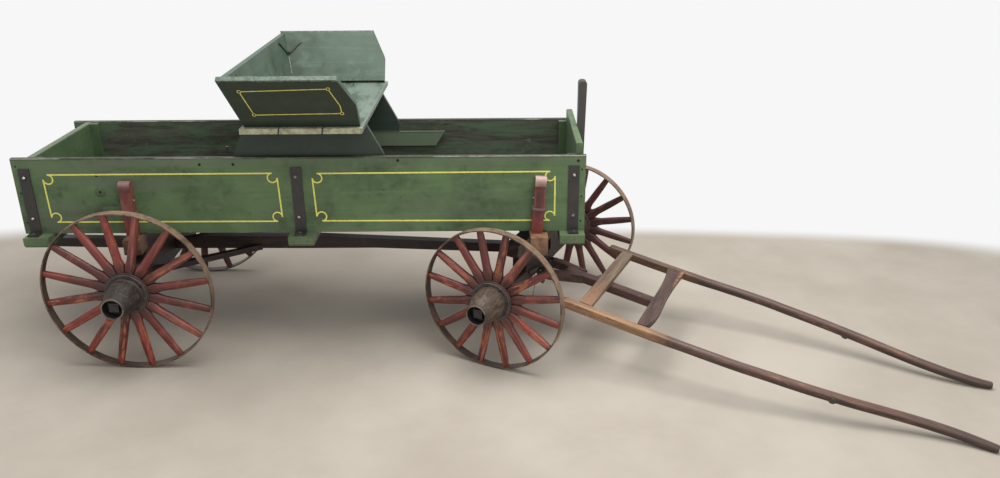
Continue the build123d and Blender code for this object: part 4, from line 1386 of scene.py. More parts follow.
@dataclass
class Carriage:
    """What carries the box: bolsters, stakes, rear axle bed, reach and hounds."""

    nodes: dict
    place: Place = field(default_factory=STANCE.box)
    stake_foot_x: tuple = (-0.009, 1.227)
    stake_lean: tuple = (0.0, 4.0)
    stake_half: float = 0.017
    stake_y: float = 0.237
    pin_z: float = 0.499
    pin_form: tuple = (0.0042, 0.0052, 0.003)
    box_floor: float = 0.388
    stay_from: tuple = (0.0275, -0.142, 0.2375)
    stay_to: tuple = (0.0290, -0.076, 0.2265)
    stay_sag: float = 0.004
    stay_section: tuple = (0.014, 0.007, 0.003)
    bolt_end: tuple = (0.045, -0.0655, 0.1875)
    bolt_end_form: tuple = ((0.0052, -0.004), (0.0052, 0.004), (0.0078, 0.0045), (0.0078, 0.0105),
                            (0.0066, 0.0115), (0.0044, 0.0120), (0.0040, 0.0165))
    wire_top: tuple = (0.031, -0.108, 0.232)
    wire_fall: float = 0.112
    wire_sway: float = 0.004
    wire_drift: float = 0.006
    wire_r: float = 0.0009
    hook_aside: tuple = (0.000, 0.001, 0.003, 0.006, 0.010)
    hook_up: tuple = (0.000, 0.001, 0.003, 0.006, 0.011)

    def paint(self) -> None:
        """Paints the stakes, bolsters, beams and gear."""
        self.stakes()
        self.bolsters()
        self.beams()

    def stakes(self) -> None:
        """Paints the stakes red, and their irons pale at the top: partly worn paint, partly a
        painted highlight.
        """
        graph, x, y, z = started("stake_paint", self.place)
        paint, rough, height = MAROON.lay(graph, x, y, z, Grain.ALONG_Z, 1.1,
                                          z.rise(0.42, 0.385) * 0.5)
        colour = graph.mix(z.rise(0.47, 0.41) * 0.45, paint, tint(146, 58, 52))
        dress(["rear_stakes", "front_stakes"], graph.finish(colour, rough, height), self.nodes)
        graph, x, y, z = started("stake_iron_paint", self.place)
        paint, rough, height = MAROON.lay(graph, x, y, z, Grain.ALONG_Z, 6.1)
        rust = graph.noise((x, y, z), 60.0, 4.0, 0.7)
        # Pale tops on the stake irons, stronger on the front stakes: partly worn paint, partly
        # painted highlight where the tops catch the light.
        top = (z + (rust - 0.5) * 0.02).rise(0.530, 0.560)
        colour = graph.mix(top * (x.rise(0.4, 0.8) * 0.45 + 0.25), paint, tint(200, 172, 162))
        ring = z.rise(0.480, 0.474)
        colour = graph.mix(ring * 0.6, colour, tint(132, 108, 102))
        dress(["stake_irons"], graph.finish(colour, rough, height, spec=0.5), self.nodes)

    def bolsters(self) -> None:
        """Paints the bolsters dark maroon, with bare tan wood at their ends."""
        graph, x, y, z = started("bolster_paint", self.place)
        paint, rough, height = DARK_MAROON.lay(graph, x, y, z, Grain.ALONG_Y, 3.3)
        wood, _, _ = BAR_WOOD.lay(graph, x, y, z, Grain.ALONG_Y, 1.9)
        rag = graph.noise((x, y, z), 50.0, 4.0, 0.7)
        warm = graph.mix(rag.rise(0.38, 0.62), tint(132, 92, 66), tint(186, 140, 104))
        worn = (abs(y) + (rag - 0.5) * 0.03).rise(0.225, 0.245) * (1.0 - x.rise(0.6, 0.3) * 0.45)
        low = z.rise(0.352, 0.340) * rag.rise(0.40, 0.55)
        colour = graph.mix(worn * 0.85 * (1.0 - low * 0.6), paint, graph.mix(0.6, wood, warm))
        dress(["rear_bolster", "front_bolster"], graph.finish(colour, rough, height), self.nodes)

    def beams(self) -> None:
        """Paints the axle beds, reach and hounds dark maroon, and blackens the axle irons."""
        graph, x, y, z = started("beam_paint", self.place)
        paint, rough, height = DARK_MAROON.lay(graph, x, y, z, Grain.ALONG_X, 5.9)
        dress(["rear_axle_bed", "reach", "rear_hounds"], graph.finish(paint, rough, height),
              self.nodes)
        graph, x, y, z = started("axle_iron", self.place)
        colour, rough, height = BLACK_IRON.lay(graph, x, y, z, 4.4)
        colour = graph.mix(0.5, colour, tint(36, 30, 32))
        dress(["rear_axle_arms", "rear_axle_nuts", "front_axle_arms", "front_axle_nuts",
               "king_bolt", "hinge_irons"], graph.finish(colour, rough, height, 0.0003, spec=0.5),
              self.nodes)
        graph, x, y, z = started("gear_paint", STANCE.gear())
        paint, rough, height = DARK_MAROON.lay(graph, x, y, z, Grain.ALONG_Y, 7.9)
        rag = graph.noise((x, y, z), 40.0, 4.0, 0.7)
        front = x.rise(0.018, 0.022) * z.rise(0.25, 0.3) * rag.rise(0.36, 0.55)
        colour = graph.mix(front * 0.5, paint, tint(104, 88, 72))
        dress(["front_axle_bed", "bed_spacers", "sand_board"], graph.finish(colour, rough, height),
              self.nodes)

    def pins(self) -> None:
        """Sets a round pin head on each side of each stake."""
        graph, x, y, z = started("pin_iron", self.place)
        colour, rough, _ = BLACK_IRON.lay(graph, x, y, z, 8.2)
        iron = graph.finish(graph.mix(0.45, colour, tint(146, 132, 122)), rough, spec=0.5)
        pins = Bundle()
        for foot, lean in zip(self.stake_foot_x, self.stake_lean):
            middle = foot + math.tan(math.radians(lean)) * (self.pin_z - self.box_floor)
            for side in (-1, 1):
                for end in (-1, 1):
                    at = facing((end, 0, 0), (middle + end * self.stake_half, side * self.stake_y,
                                              self.pin_z))
                    pins.put(revolved(dome_profile(*self.pin_form), 12), at, self.place)
        pins.make("stake_pins", "wagon_body", iron, "black_iron")

    def gear_irons(self) -> None:
        """Adds the stay on the front axle bed, the bolt end below it and a bent wire hook.

        The stay's size swells as 0.55 + 0.45 * sin(share * pi) ** 0.35. The wire's path is top +
        (sway * sin(5 * share), drift * share ** 2, -fall * share), bent up at its end.
        """
        place = STANCE.gear()
        graph, x, y, z = started("stay_iron", place)
        colour, rough, height = OldIron(rusting=0.9).lay(graph, x, y, z, 1.6)
        iron = graph.finish(colour, rough, height, 0.0003, spec=0.5)
        irons = Bundle()
        share = np.linspace(0, 1, 18)[:, None]
        sag = np.array([0.0, 0.0, -self.stay_sag]) * np.sin(share * math.pi)
        size = 0.55 + 0.45 * np.sin(np.clip(share[:, 0], 0.04, 0.96) * math.pi) ** 0.35
        path = straight(self.stay_from, self.stay_to, len(share)) + sag
        irons.put(carried(rounded_bar(*self.stay_section), path, (1, 0, 0), size), place)
        at = facing((0, 0, -1), self.bolt_end)
        irons.put(revolved(self.bolt_end_form, 14), at, place)
        fall = np.linspace(0, 1, 26)
        path = np.array(self.wire_top) + np.column_stack([
            self.wire_sway * np.sin(fall * 5.0), self.wire_drift * fall ** 2,
            -self.wire_fall * fall])
        path[-len(self.hook_up):, 1] += self.hook_aside
        path[-len(self.hook_up):, 2] += self.hook_up
        irons.put(carried(self.wire_r * circle(6), path, (1, 0, 0)), place)
        irons.make("gear_irons", "front_gear", iron, "black_iron")


@dataclass
class Wheels:
    """Four wheels: iron tyres, oval spokes whose feet meet, and bellied hubs with flanges."""

    nodes: dict
    spokes: int = 16
    tyre_t: float = 0.0048
    foot_r: float = 0.0453
    seam: float = 0.0001
    half_widths: tuple = (0.0112, 0.0127, 0.0100)
    half_thicks: tuple = (0.0095, 0.0093, 0.0080)
    swell_share: float = 0.62
    flare_from: float = 0.083
    flare_to: float = 0.112
    flare: float = 0.0060
    flare_most: float = 1.3
    square_at: tuple = (0.075, 0.120)
    square_power: tuple = (0.45, 0.60, 0.84)
    spread: tuple = (0.96, 1.05)
    seed_step: float = 2.3
    spoke_sides: int = 22
    spoke_steps: int = 15
    hub_sides: int = 72
    nuts: int = 8
    nut_across: float = 0.0078
    nut_h: float = 0.0044
    stud: tuple = ((0.0022, 0.0), (0.0022, 0.0056), (0.0014, 0.0062))
    stud_sides: int = 10
    nut_ring_r: float = 0.0556
    boss_y: float = 0.0183
    hub_profile: tuple = (
        (0.0146, -0.0610), (0.0372, -0.0610), (0.0392, -0.0600), (0.0415, -0.0540),
        (0.0490, -0.0320), (0.0540, -0.0150), (0.0654, -0.0148), (0.0660, -0.0142),
        (0.0660, -0.0104), (0.0654, -0.0098), (0.0450, -0.0098), (0.0450, 0.0098),
        (0.0654, 0.0098), (0.0660, 0.0104), (0.0660, 0.0142), (0.0654, 0.0148),
        (0.0613, 0.0149), (0.0613, 0.0176), (0.0606, 0.0183), (0.0503, 0.0184),
        (0.0515, 0.0196), (0.0519, 0.0216), (0.0515, 0.0236), (0.0504, 0.0244),
        (0.0511, 0.0254), (0.0514, 0.0270), (0.0510, 0.0286), (0.0500, 0.0294),
        (0.0503, 0.0380), (0.0496, 0.0480), (0.0482, 0.0580), (0.0460, 0.0680),
        (0.0431, 0.0780), (0.0397, 0.0880), (0.0360, 0.0980), (0.0324, 0.1070),
        (0.0318, 0.1086), (0.0326, 0.1092), (0.0330, 0.1100), (0.0330, 0.1200),
        (0.0324, 0.1210), (0.0292, 0.1210), (0.0284, 0.1202), (0.0276, 0.1000),
        (0.0268, 0.0962), (0.0146, 0.0960),
    )

    def paint(self) -> None:
        """Builds and finishes each wheel in its own frame, so that no two spokes are alike."""
        seed = 0.0
        for end in ("rear", "front"):
            radius = STANCE.rear_radius if end == "rear" else STANCE.front_radius
            for side in ("right", "left"):
                seed += self.seed_step
                name = f"{end}_{side}"
                place = STANCE.wheel(end, side)
                self.tyre(name, place, radius, seed)
                self.spoke_set(name, place, radius, seed)
                self.hub(name, place, seed)

    def tyre(self, name: str, place: Place, radius: float, seed: float) -> None:
        """Finishes a tyre: dark brown, and tan where it has rolled.

        Args:
            name: The wheel's name.
            place: Its frame.
            radius: Its radius.
            seed: Shifts the patterns.
        """
        graph, x, y, z = started(f"{name}_tyre_iron", place)
        out = graph.distance(x, z)
        tread = out.rise(radius - 0.0012, radius - 0.0004)
        colour, rough, height = TYRE_IRON.lay(graph, x, y, z, seed, tread * 0.4)
        dust = graph.noise((x + seed, y, z), 26.0, 4.0, 0.7)
        colour = graph.mix(tread * dust.rise(0.25, 0.65) * 0.65, colour, tint(150, 126, 102))
        rim = abs(y).rise(0.0125, 0.0137) * dust.rise(0.42, 0.60)
        colour = graph.mix(rim * 0.5, colour, tint(150, 128, 104))
        dress([f"{name}_tyre"], graph.finish(colour, rough, height, 0.0004, spec=0.45), self.nodes)

    def one_spoke(self, radius: float, swell: float) -> Form:
        """One spoke along z: point = (half width * c, half thickness * s, distance out).

        The half width is the lesser of two. One is the wedge, distance out * tan of half a spoke's
        share of the turn. The other is the body, a parabola through the foot's, swell's and rim's
        widths, with a flare added that grows as the square of the distance in from where it starts.
        (c, s) go round a circle that is squared towards the foot.

        Args:
            radius: The wheel's radius.
            swell: This spoke's share of the usual width.

        Returns:
            Points and faces.
        """
        rim = math.sqrt((radius - self.tyre_t) ** 2 - self.half_widths[2] ** 2)
        out = np.concatenate([np.linspace(self.foot_r, self.flare_to, self.spoke_steps),
                              np.linspace(self.flare_to, rim, self.spoke_steps)[1:]])
        share = (out - self.foot_r) / (rim - self.foot_r)
        stations = (0.0, self.swell_share, 1.0)
        body = np.polyval(np.polyfit(stations, self.half_widths, 2), share) * swell
        thick = np.polyval(np.polyfit(stations, self.half_thicks, 2), share)
        past = (self.flare_to - out) / (self.flare_to - self.flare_from)
        past = np.clip(past, 0, self.flare_most)
        wedge = out * math.tan(math.pi / self.spokes) - self.seam
        wide = np.minimum(wedge, body + self.flare * past ** 2)
        power = np.interp(out, (self.foot_r, *self.square_at), self.square_power)
        c, s = squared_round(self.spoke_sides, power)
        points = np.stack([wide[:, None] * c, thick[:, None] * s,
                           np.repeat(out[:, None], self.spoke_sides, 1)], -1).reshape(-1, 3)
        return points, skin(len(out), self.spoke_sides)

    def spoke_set(self, name: str, place: Place, radius: float, seed: float) -> None:
        """Builds sixteen spokes and finishes them along their own lengths.

        The angle round the hub is cut into sixteen turns; each spoke's own frame has its length
        (the distance out) and its width (distance out times the sine of the angle left over).

        Args:
            name: The wheel's name.
            place: Its frame.
            radius: Its radius.
            seed: Shifts the patterns.
        """
        near = name.endswith("right")
        # The left wheels take the darker copy of the spoke paint, which is painted shade.
        finish = NEAR_SPOKE if near else FAR_SPOKE_SHADED
        graph, x, y, z = started(f"{name}_spoke_paint", place)
        out = graph.distance(x, z)
        turn = graph.math("ARCTAN2", x, z) * (self.spokes / (2 * math.pi))
        number = graph.math("ROUND", turn)
        across = out * graph.math("SINE", (turn - number) * (2 * math.pi / self.spokes))
        luck = graph.random(graph.vector(number + seed, 0.0, 0.0))
        paint, rough, height = finish.lay(graph, across, y, out + number * 1.7, Grain.ALONG_Z, seed,
                                          out.rise(radius - 0.05, radius - 0.005) * 0.12)
        streak = graph.noise((across + number, y, out * 0.10), 120.0, 4.0, 0.65, 0.4)
        blot = graph.noise((across + number * 2.0, y, out), 34.0, 4.0, 0.7)
        gold = streak.rise(0.52, 0.60) * blot.rise(0.42, 0.56) * luck.rise(0.25, 0.65)
        # Gold wear streaks, fainter on the left wheels as part of their painted shade.
        colour = graph.mix(gold * (0.7 if near else 0.25), paint, tint(200, 126, 76))
        colour = graph.mix(streak.rise(0.46, 0.36) * 0.55, colour, tint(64, 38, 36))
        colour = graph.mix(luck.rise(0.75, 0.25) * 0.35, colour, tint(92, 46, 42))
        # Painted shade on the spokes near the hub, where their feet crowd together.
        hub_shade = (out + (blot - 0.5) * 0.03).rise(0.118, 0.070)
        colour = graph.mix(hub_shade * 0.72, colour, tint(60, 38, 37))
        paint = graph.finish(colour, rough, height, 0.0005, spec=0.5)
        spokes = Bundle()
        spread = np.random.default_rng(int(seed * 10)).uniform(*self.spread, self.spokes)
        for k in range(self.spokes):
            turned = Place(turn_about("y", 360 * k / self.spokes), np.zeros(3))
            spokes.put(self.one_spoke(radius, float(spread[k])), turned, place)
        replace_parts(spokes.make(f"{name}_spoke_set", f"{name}_wheel", paint, "spoke_red"),
                    f"{name}_spokes")

    def hub(self, name: str, place: Place, seed: float) -> None:
        """Turns a hub: iron flanges and boss, beads, a bellied barrel, and a band round a hollow.

        Args:
            name: The wheel's name.
            place: Its frame.
            seed: Shifts the patterns.
        """
        graph, x, y, z = started(f"{name}_hub_finish", place)
        out = graph.distance(x, z)
        finish = TAN_HUB_WOOD if name == "front_right" else HUB_WOOD
        wood, rough, height = finish.lay(graph, x, y, z, Grain.ALONG_Y, seed)
        rings = graph.noise((0.0, y + (out * 0.2), seed), 190.0, 3.0, 0.6)
        blot = graph.noise((x, y, z + seed), 36.0, 5.0, 0.7)
        wood = graph.mix(rings.rise(0.50, 0.66) * 0.45, wood, tint(52, 46, 42))
        wood = graph.mix(blot.rise(0.54, 0.68) * 0.4, wood, tint(128, 116, 96))
        iron, _, _ = OldIron(black=tint(66, 58, 56), brown=tint(84, 70, 64),
                             rusting=0.4).lay(graph, x, y, z, seed + 1.0)
        boss = y.rise(0.0300, 0.0292)
        band = y.rise(0.1080, 0.1088)
        colour = graph.mix((boss + band).at_most(1.0) * 0.85, wood, iron)
        # Painted highlight along the flange's rim and the band's outer edge.
        rim = out.rise(0.0598, 0.0608) * y.rise(0.0168, 0.0178) * y.rise(0.0190, 0.0186)
        edge = rim + y.rise(0.1202, 0.1208) * out.rise(0.0286, 0.0292)
        colour = graph.mix(edge.at_most(1.0) * blot.rise(0.38, 0.56) * 0.5, colour,
                           tint(160, 146, 138))
        # Painted shade inside the hollow at the hub's end.
        hollow = out.rise(0.0290, 0.0284) * y.rise(0.090, 0.094)
        colour = graph.mix(hollow, colour, tint(22, 19, 19))
        turned = graph.finish(colour, rough, height + rings * 0.3, 0.0007)
        upright = facing((0, 1, 0), (0, 0, 0))
        hub = Bundle()
        hub.put(revolved(self.hub_profile, self.hub_sides, ring=True), upright, place)
        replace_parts(hub.make(f"{name}_hub_turned", f"{name}_wheel", turned, "hub_wood"),
                    f"{name}_hub")
        self.hub_nuts(name, place, seed)

    def hub_nuts(self, name: str, place: Place, seed: float) -> None:
        """Sets the square nuts and bolt ends round a hub's front flange, each turned by chance.

        Args:
            name: The wheel's name.
            place: Its frame.
            seed: Shifts the patterns.
        """
        graph, x, y, z = started(f"{name}_nut_iron", place)
        colour, rough, _ = OldIron(black=tint(44, 38, 38), rusting=0.5).lay(graph, x, y, z, seed)
        iron = graph.finish(colour, rough, spec=0.5)
        nuts = Bundle()
        rng = np.random.default_rng(int(seed * 10) + 1)
        for k in range(self.nuts):
            angle = 2 * math.pi * (k + 0.5) / self.nuts
            spot = facing((0, 1, 0), (self.nut_ring_r * math.sin(angle), self.boss_y,
                                      self.nut_ring_r * math.cos(angle)))
            twist = Place(turn_about("z", float(rng.uniform(0, 90))), np.zeros(3)).then(spot)
            nuts.put(nut_form(self.nut_across, self.nut_h), twist, place)
            nuts.put(revolved(self.stud, self.stud_sides), twist, place)
        nuts.make(f"{name}_hub_nuts", f"{name}_wheel", iron, "black_iron")


def smooth_line(x: np.ndarray, stations: Sequence[float], values: Sequence[float]) -> np.ndarray:
    """A smooth line through stations: on each span a cubic from both ends' values and slopes.

    Args:
        x: Where it is wanted.
        stations: The stations, in order.
        values: The line's value at each.

    Returns:
        The line's values.
    """
    at, value = np.array(stations), np.array(values)
    slope = np.gradient(value, at)
    k = np.clip(np.searchsorted(at, x) - 1, 0, len(at) - 2)
    span = at[k + 1] - at[k]
    t = (x - at[k]) / span
    rise = t * t * (3 - 2 * t)
    bend = t * (1 - t) ** 2 * slope[k] - t * t * (1 - t) * slope[k + 1]
    return value[k] * (1 - rise) + value[k + 1] * rise + span * bend


@dataclass
class Shafts:
    """The pair of shafts with their crossbars, tongue and hounds."""

    nodes: dict
    place: Place = field(default_factory=STANCE.shafts)
    tongue_w: float = 0.034
    tongue_z: tuple = (-0.003, 0.025)
    tongue_x: tuple = (0.060, 0.401)
    fitting: tuple = (0.959, 0.2130, 0.0386)
    shaft_r: float = 0.0152
    shaft_mid: float = 0.031
    shaft_rise: tuple = (0.0078, 0.0092)
    tongue_corner: float = 0.004
    plate_form: tuple = (0.0072, 0.0026, 0.003)
    plate_sunk: float = 0.0010
    staple_top: float = 0.0147
    staple_half: float = 0.008
    staple_drop: float = 0.0045
    staple_section: tuple = (0.0056, 0.0050, 0.0022)
    line_x: tuple = (0.132, 0.450, 0.600, 0.700, 0.750, 0.900, 0.960, 1.000, 1.100, 1.200, 1.300,
                     1.350, 1.396)
    line_y: tuple = (0.2360, 0.2360, 0.2378, 0.2362, 0.2320, 0.2200, 0.2125, 0.2075, 0.1910, 0.1770,
                     0.1722, 0.1750, 0.1810)
    line_z: tuple = (0.0310, 0.0310, 0.0340, 0.0360, 0.0365, 0.0380, 0.0386, 0.0390, 0.0405, 0.0425,
                     0.0450, 0.0466, 0.0500)
    half_at: tuple = ((0.132, 0.0110), (0.1345, 0.0128), (0.139, 0.0140), (0.450, 0.0140),
                      (0.510, 0.0154), (0.900, 0.0155), (1.100, 0.0150), (1.250, 0.0145),
                      (1.350, 0.0134), (1.385, 0.0121), (1.3925, 0.0118), (1.396, 0.0095))
    square_at: tuple = (0.445, 0.520)
    square_power: tuple = (0.36, 1.0)
    steps: int = 90
    sides: int = 28

    def finish_wood(self) -> None:
        """Shapes and stains the shafts and tongue, weathers the bars and adds the fittings."""
        for number, name in enumerate(("shaft_right", "shaft_left")):
            wood = self.shaft_wood(name, number)
            pole = Bundle()
            pole.put(self.one_shaft(2.0 * number - 1.0), self.place)
            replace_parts(pole.make(f"{name}_pole", "shafts", wood, "shaft_wood"), name)
        self.bars()
        self.tongue()
        self.fittings()

    def shaft_wood(self, name: str, number: int) -> bpy.types.Material:
        """Stains a shaft, bares its rear stretch, rubs it pale, dark and dusty in places, and
        paints a highlight along its top and shade along its underside.

        Args:
            name: The shaft's name.
            number: 0 for the right shaft, whose rear is bare, and 1 for the left.

        Returns:
            The material.
        """
        graph, x, y, z = started(f"{name}_wood", self.place)
        stain, rough, height = SHAFT_STAIN.lay(graph, x, y, z, Grain.ALONG_X, 1.0 + number * 2)
        bare, _, _ = SHAFT_BARE.lay(graph, x, y, z, Grain.ALONG_X, 4.0 + number)
        ragged = graph.noise((x, y * 3.0, z * 3.0), 12.0, 5.0, 0.7, 0.5)
        rubs = graph.noise((x * 0.25, y * 2.0, z * 2.0), 34.0, 5.0, 0.72, 0.4)
        worn = (x + (ragged - 0.5) * 0.20).rise(0.50, 0.42)
        colour = graph.mix(worn * (0.95 if number == 0 else 0.22), stain, bare)
        pale = rubs.rise(0.60, 0.68) * x.rise(0.40, 0.50) * x.rise(0.95, 0.70)
        colour = graph.mix(pale * 0.75, colour, tint(204, 168, 138))
        colour = graph.mix(rubs.rise(0.54, 0.64) * 0.4, colour, tint(142, 104, 80))
        colour = graph.mix(rubs.rise(0.46, 0.38) * 0.5, colour, tint(46, 32, 28))
        # Painted highlight along the top of each shaft and painted shade along its underside, set
        # by where a point lies above or below the shaft's centre line.
        first, last = self.shaft_rise
        middle = x.rise(0.45, 1.0) * first + x.rise(1.2, 1.396) * last + self.shaft_mid
        over = z - middle
        ahead = x.rise(0.40, 0.55)
        colour = graph.mix(over.rise(0.004, 0.012) * ahead * 0.15, colour, tint(168, 124, 106))
        colour = graph.mix(over.rise(-0.002, -0.012) * ahead * 0.5, colour, tint(48, 32, 30))
        tip = (x + (ragged - 0.5) * 0.2).rise(1.12, 1.34)
        colour = graph.mix(tip * 0.6, colour, tint(62, 50, 44))
        return graph.finish(colour, rough, height, 0.0005, spec=0.5)

    def bars(self) -> None:
        """Weathers the crossbars, tan on the near side, and darkens the hounds."""
        graph, x, y, z = started("rear_bar_wood", self.place)
        wood, rough, height = BAR_WOOD.lay(graph, x, y, z, Grain.ALONG_Y, 3.0)
        colour = graph.mix(y.rise(0.02, -0.20) * 0.55, wood, tint(176, 132, 98))
        colour = graph.mix(y.rise(0.05, 0.20) * 0.35, colour, tint(104, 98, 78))
        dress(["crossbar_rear"], graph.finish(colour, rough, height), self.nodes)
        graph, x, y, z = started("front_bar_wood", self.place)
        wood, rough, height = DARK_WOOD.lay(graph, x, y, z, Grain.ALONG_Y, 5.0)
        rag = graph.noise((x, y, z), 40.0, 4.0, 0.7)
        tan = x.rise(0.392, 0.402) * y.rise(0.06, 0.16) * rag.rise(0.36, 0.52)
        colour = graph.mix(tan * 0.7, wood, tint(178, 128, 92))
        dress(["crossbar_front"], graph.finish(colour, rough, height), self.nodes)
        graph, x, y, z = started("hound_wood", self.place)
        wood, rough, height = DARK_WOOD.lay(graph, x, y, z, Grain.ALONG_X, 8.0)
        dress(["shaft_hounds"], graph.finish(wood, rough, height), self.nodes)

    def one_shaft(self, side: float) -> Form:
        """One shaft: centre + half size * (c * across + s * upward), carried along its line.

        The line goes through the stations by cubics that keep each station's slope. c and s go
        round a circle that is squared by a power below 1, which rises to 1 past the square bar.

        Args:
            side: -1 for the right shaft, 1 for the left.

        Returns:
            Points and faces.
        """
        half_x, half = np.array(self.half_at).T
        x = np.unique(np.concatenate([np.linspace(self.line_x[0], self.line_x[-1], self.steps),
                                      half_x]))
        middle = np.stack([x, side * smooth_line(x, self.line_x, self.line_y),
                           smooth_line(x, self.line_x, self.line_z)], -1)
        ahead = unit(np.gradient(middle, x, axis=0))
        across = unit(np.cross((0.0, 0.0, 1.0), ahead))
        upward = np.cross(ahead, across)
        c, s = squared_round(self.sides, np.interp(x, self.square_at, self.square_power))
        size = np.interp(x, half_x, half)[:, None, None]
        points = middle[:, None] + size * (c[..., None] * across[:, None]
                                           + s[..., None] * upward[:, None])
        return points.reshape(-1, 3), skin(len(x), self.sides)

    def tongue(self) -> None:
        """Shapes the tongue: a worn bar that ends under the front crossbar."""
        graph, x, y, z = started("tongue_wood", self.place)
        wood, rough, height = DARK_WOOD.lay(graph, x, y, z, Grain.ALONG_X, 8.0)
        finish = graph.finish(graph.mix(0.25, wood, tint(84, 52, 46)), rough, height)
        low, high = self.tongue_z
        start, stop = ((x_end, 0.0, (low + high) / 2) for x_end in self.tongue_x)
        path = straight(start, stop, 30)
        size = np.interp(np.linspace(0, 1, len(path)), (0, 0.02, 0.985, 1), (0.92, 1, 1, 0.9))
        section = rounded_bar(self.tongue_w, high - low, self.tongue_corner, 4)
        bar = Bundle()
        bar.put(carried(section, path, (0, 0, 1), size), self.place)
        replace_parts(bar.make("tongue_bar", "shafts", finish, "bar_wood"), "tongue")

    def fittings(self) -> None:
        """Sets a plate on each shaft's outer side and a low staple under it."""
        graph, x, y, z = started("fitting_iron", self.place)
        colour, rough, height = OldIron(rusting=0.7).lay(graph, x, y, z, 2.6)
        iron = graph.finish(colour, rough, height, 0.0003, spec=0.5)
        irons = Bundle()
        ahead, aside, up = self.fitting
        for side in (-1, 1):
            at = facing((0, side, 0), (ahead, side * (aside + self.shaft_r - self.plate_sunk),
                                       up - self.plate_sunk))
            irons.put(revolved(dome_profile(*self.plate_form), 14), at, self.place)
            loop = np.linspace(0, math.pi, 12)
            path = np.column_stack([ahead - self.staple_half * np.cos(loop),
                                    np.full(len(loop), side * aside),
                                    up - self.staple_top - self.staple_drop * np.sin(loop)])
            irons.put(carried(rounded_bar(*self.staple_section), path, (0, 1, 0)), self.place)
        irons.make("shaft_fittings", "shafts", iron, "black_iron")


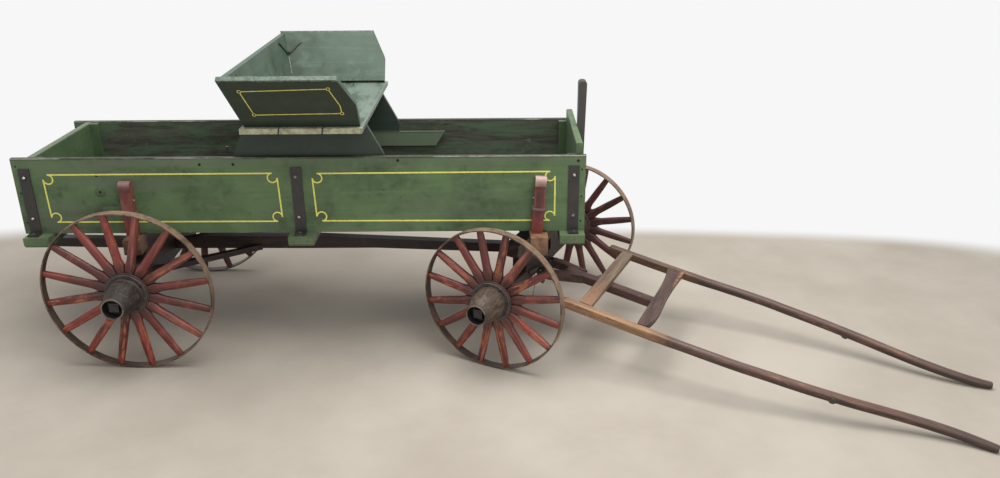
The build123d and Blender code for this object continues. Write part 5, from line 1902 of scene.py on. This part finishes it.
@dataclass
class Studio:
    """A pale floor, soft lamps and the camera at the photograph's place."""

    camera_at: tuple = (1.09051, -2.75452, 1.42298)
    yaw: float = 0.0085
    pitch: float = 0.3888
    roll: float = 0.0181
    lens: float = 31.837
    backdrop: Colour = (0.93, 0.93, 0.93)
    fill: float = 0.50
    floor_half: tuple = (2.4, 0.93)
    floor_reach: float = 30.0
    ambient: Colour = (0.88, 0.89, 0.90)
    lamp_aim: tuple = (0.2, 0.0, 0.3)
    lamp_set: tuple = (("lamp_over", (0.1, -0.2, 3.4), 2.6, 118.0),
                       ("lamp_front", (1.6, -3.6, 2.6), 2.4, 40.0))

    def camera(self) -> None:
        """Sets the camera, which looks along (sin yaw cos pitch, cos yaw cos pitch, -sin pitch)."""
        forward = np.array([math.sin(self.yaw) * math.cos(self.pitch),
                            math.cos(self.yaw) * math.cos(self.pitch), -math.sin(self.pitch)])
        right = np.array([math.cos(self.yaw), -math.sin(self.yaw), 0.0])
        up = np.cross(right, forward)
        c, s = math.cos(self.roll), math.sin(self.roll)
        right, up = c * right + s * up, c * up - s * right
        data = bpy.data.cameras.new("studio_camera")
        data.lens = self.lens
        data.sensor_width = 36.0
        data.clip_end = 60.0
        camera = bpy.data.objects.new("studio_camera", data)
        turn = np.eye(4)
        turn[:3, :3] = np.stack([right, up, -forward], -1)
        turn[:3, 3] = STANCE.home().out(np.array(self.camera_at))
        camera.matrix_world = Matrix(turn.tolist())
        bpy.context.collection.objects.link(camera)
        bpy.context.scene.camera = camera

    def floor(self) -> None:
        """Lays the pale floor, which runs over into the backdrop past the wagon.

        The share of backdrop rises with the fourth root of (x / half length) to the fourth plus
        (y / half width) to the fourth.
        """
        mesh = bpy.data.meshes.new("studio_floor")
        half = self.floor_reach
        mesh.from_pydata([(-half, -half, 0), (half, -half, 0), (half, half, 0), (-half, half, 0)],
                         [], [(0, 1, 2, 3)])
        floor = bpy.data.objects.new("studio_floor", mesh)
        bpy.context.collection.objects.link(floor)
        graph = Graph("studio_floor_paint")
        x, y, z = graph.parts(graph.node("ShaderNodeTexCoord", {}, {}, "Object"))
        clouds = graph.noise((x, y, z), 1.6, 5.0, 0.6)
        colour = graph.mix(clouds.rise(0.3, 0.7), tint(176, 166, 153), tint(192, 183, 170))
        material = graph.finish(colour, 0.85, spec=0.2)
        far = graph.math("POWER", abs(x / self.floor_half[0]), 4.0)
        far = graph.math("POWER", far + graph.math("POWER", abs(y / self.floor_half[1]), 4.0), 0.25)
        rays = graph.tree.nodes.new("ShaderNodeLightPath")
        seen = Val(graph, rays.outputs["Is Camera Ray"]).at_least(
            Val(graph, rays.outputs["Is Glossy Ray"]))
        graph.glow(far.rise(0.97, 1.12) * seen, self.backdrop)
        mesh.materials.append(material)

    def lamps(self) -> None:
        """Hangs two large soft lamps, lights the rest from all round and sets the pale backdrop."""
        world = bpy.data.worlds.new("studio_world")
        bpy.context.scene.world = world
        world.use_nodes = True
        tree = world.node_tree
        ambient = tree.nodes["Background"]
        ambient.inputs["Color"].default_value = (*self.ambient, 1.0)
        ambient.inputs["Strength"].default_value = self.fill
        plain = tree.nodes.new("ShaderNodeBackground")
        plain.inputs["Color"].default_value = (*self.backdrop, 1.0)
        rays = tree.nodes.new("ShaderNodeLightPath")
        either = tree.nodes.new("ShaderNodeMath")
        either.operation = "MAXIMUM"
        both = tree.nodes.new("ShaderNodeMixShader")
        tree.links.new(rays.outputs["Is Camera Ray"], either.inputs[0])
        tree.links.new(rays.outputs["Is Glossy Ray"], either.inputs[1])
        tree.links.new(either.outputs[0], both.inputs[0])
        tree.links.new(ambient.outputs[0], both.inputs[1])
        tree.links.new(plain.outputs[0], both.inputs[2])
        tree.links.new(both.outputs[0], tree.nodes["World Output"].inputs["Surface"])
        for name, at, size, power in self.lamp_set:
            data = bpy.data.lights.new(name, "AREA")
            data.shape = "SQUARE"
            data.size = size
            data.energy = power
            lamp = bpy.data.objects.new(name, data)
            lamp.location = at
            view = Vector(self.lamp_aim) - Vector(at)
            lamp.rotation_euler = view.to_track_quat("-Z", "Y").to_euler()
            bpy.context.collection.objects.link(lamp)
        bpy.context.scene.view_settings.view_transform = "Standard"


def main() -> None:
    """Builds the wagon's looks in order."""
    logging.basicConfig(level=logging.INFO, format="%(name)s %(message)s")
    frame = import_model()
    nodes = frame["nodes"]
    box = Box(nodes)
    box.boards()
    box.ironwork()
    box.lines()
    box.small_marks()
    seat = Seat(nodes)
    seat.paint()
    seat.lines()
    seat.corner_irons()
    carriage = Carriage(nodes)
    carriage.paint()
    carriage.pins()
    carriage.gear_irons()
    Wheels(nodes).paint()
    Shafts(nodes).finish_wood()
    studio = Studio()
    studio.camera()
    studio.floor()
    studio.lamps()
    bpy.context.view_layer.update()


if __name__ == "__main__":
    main()
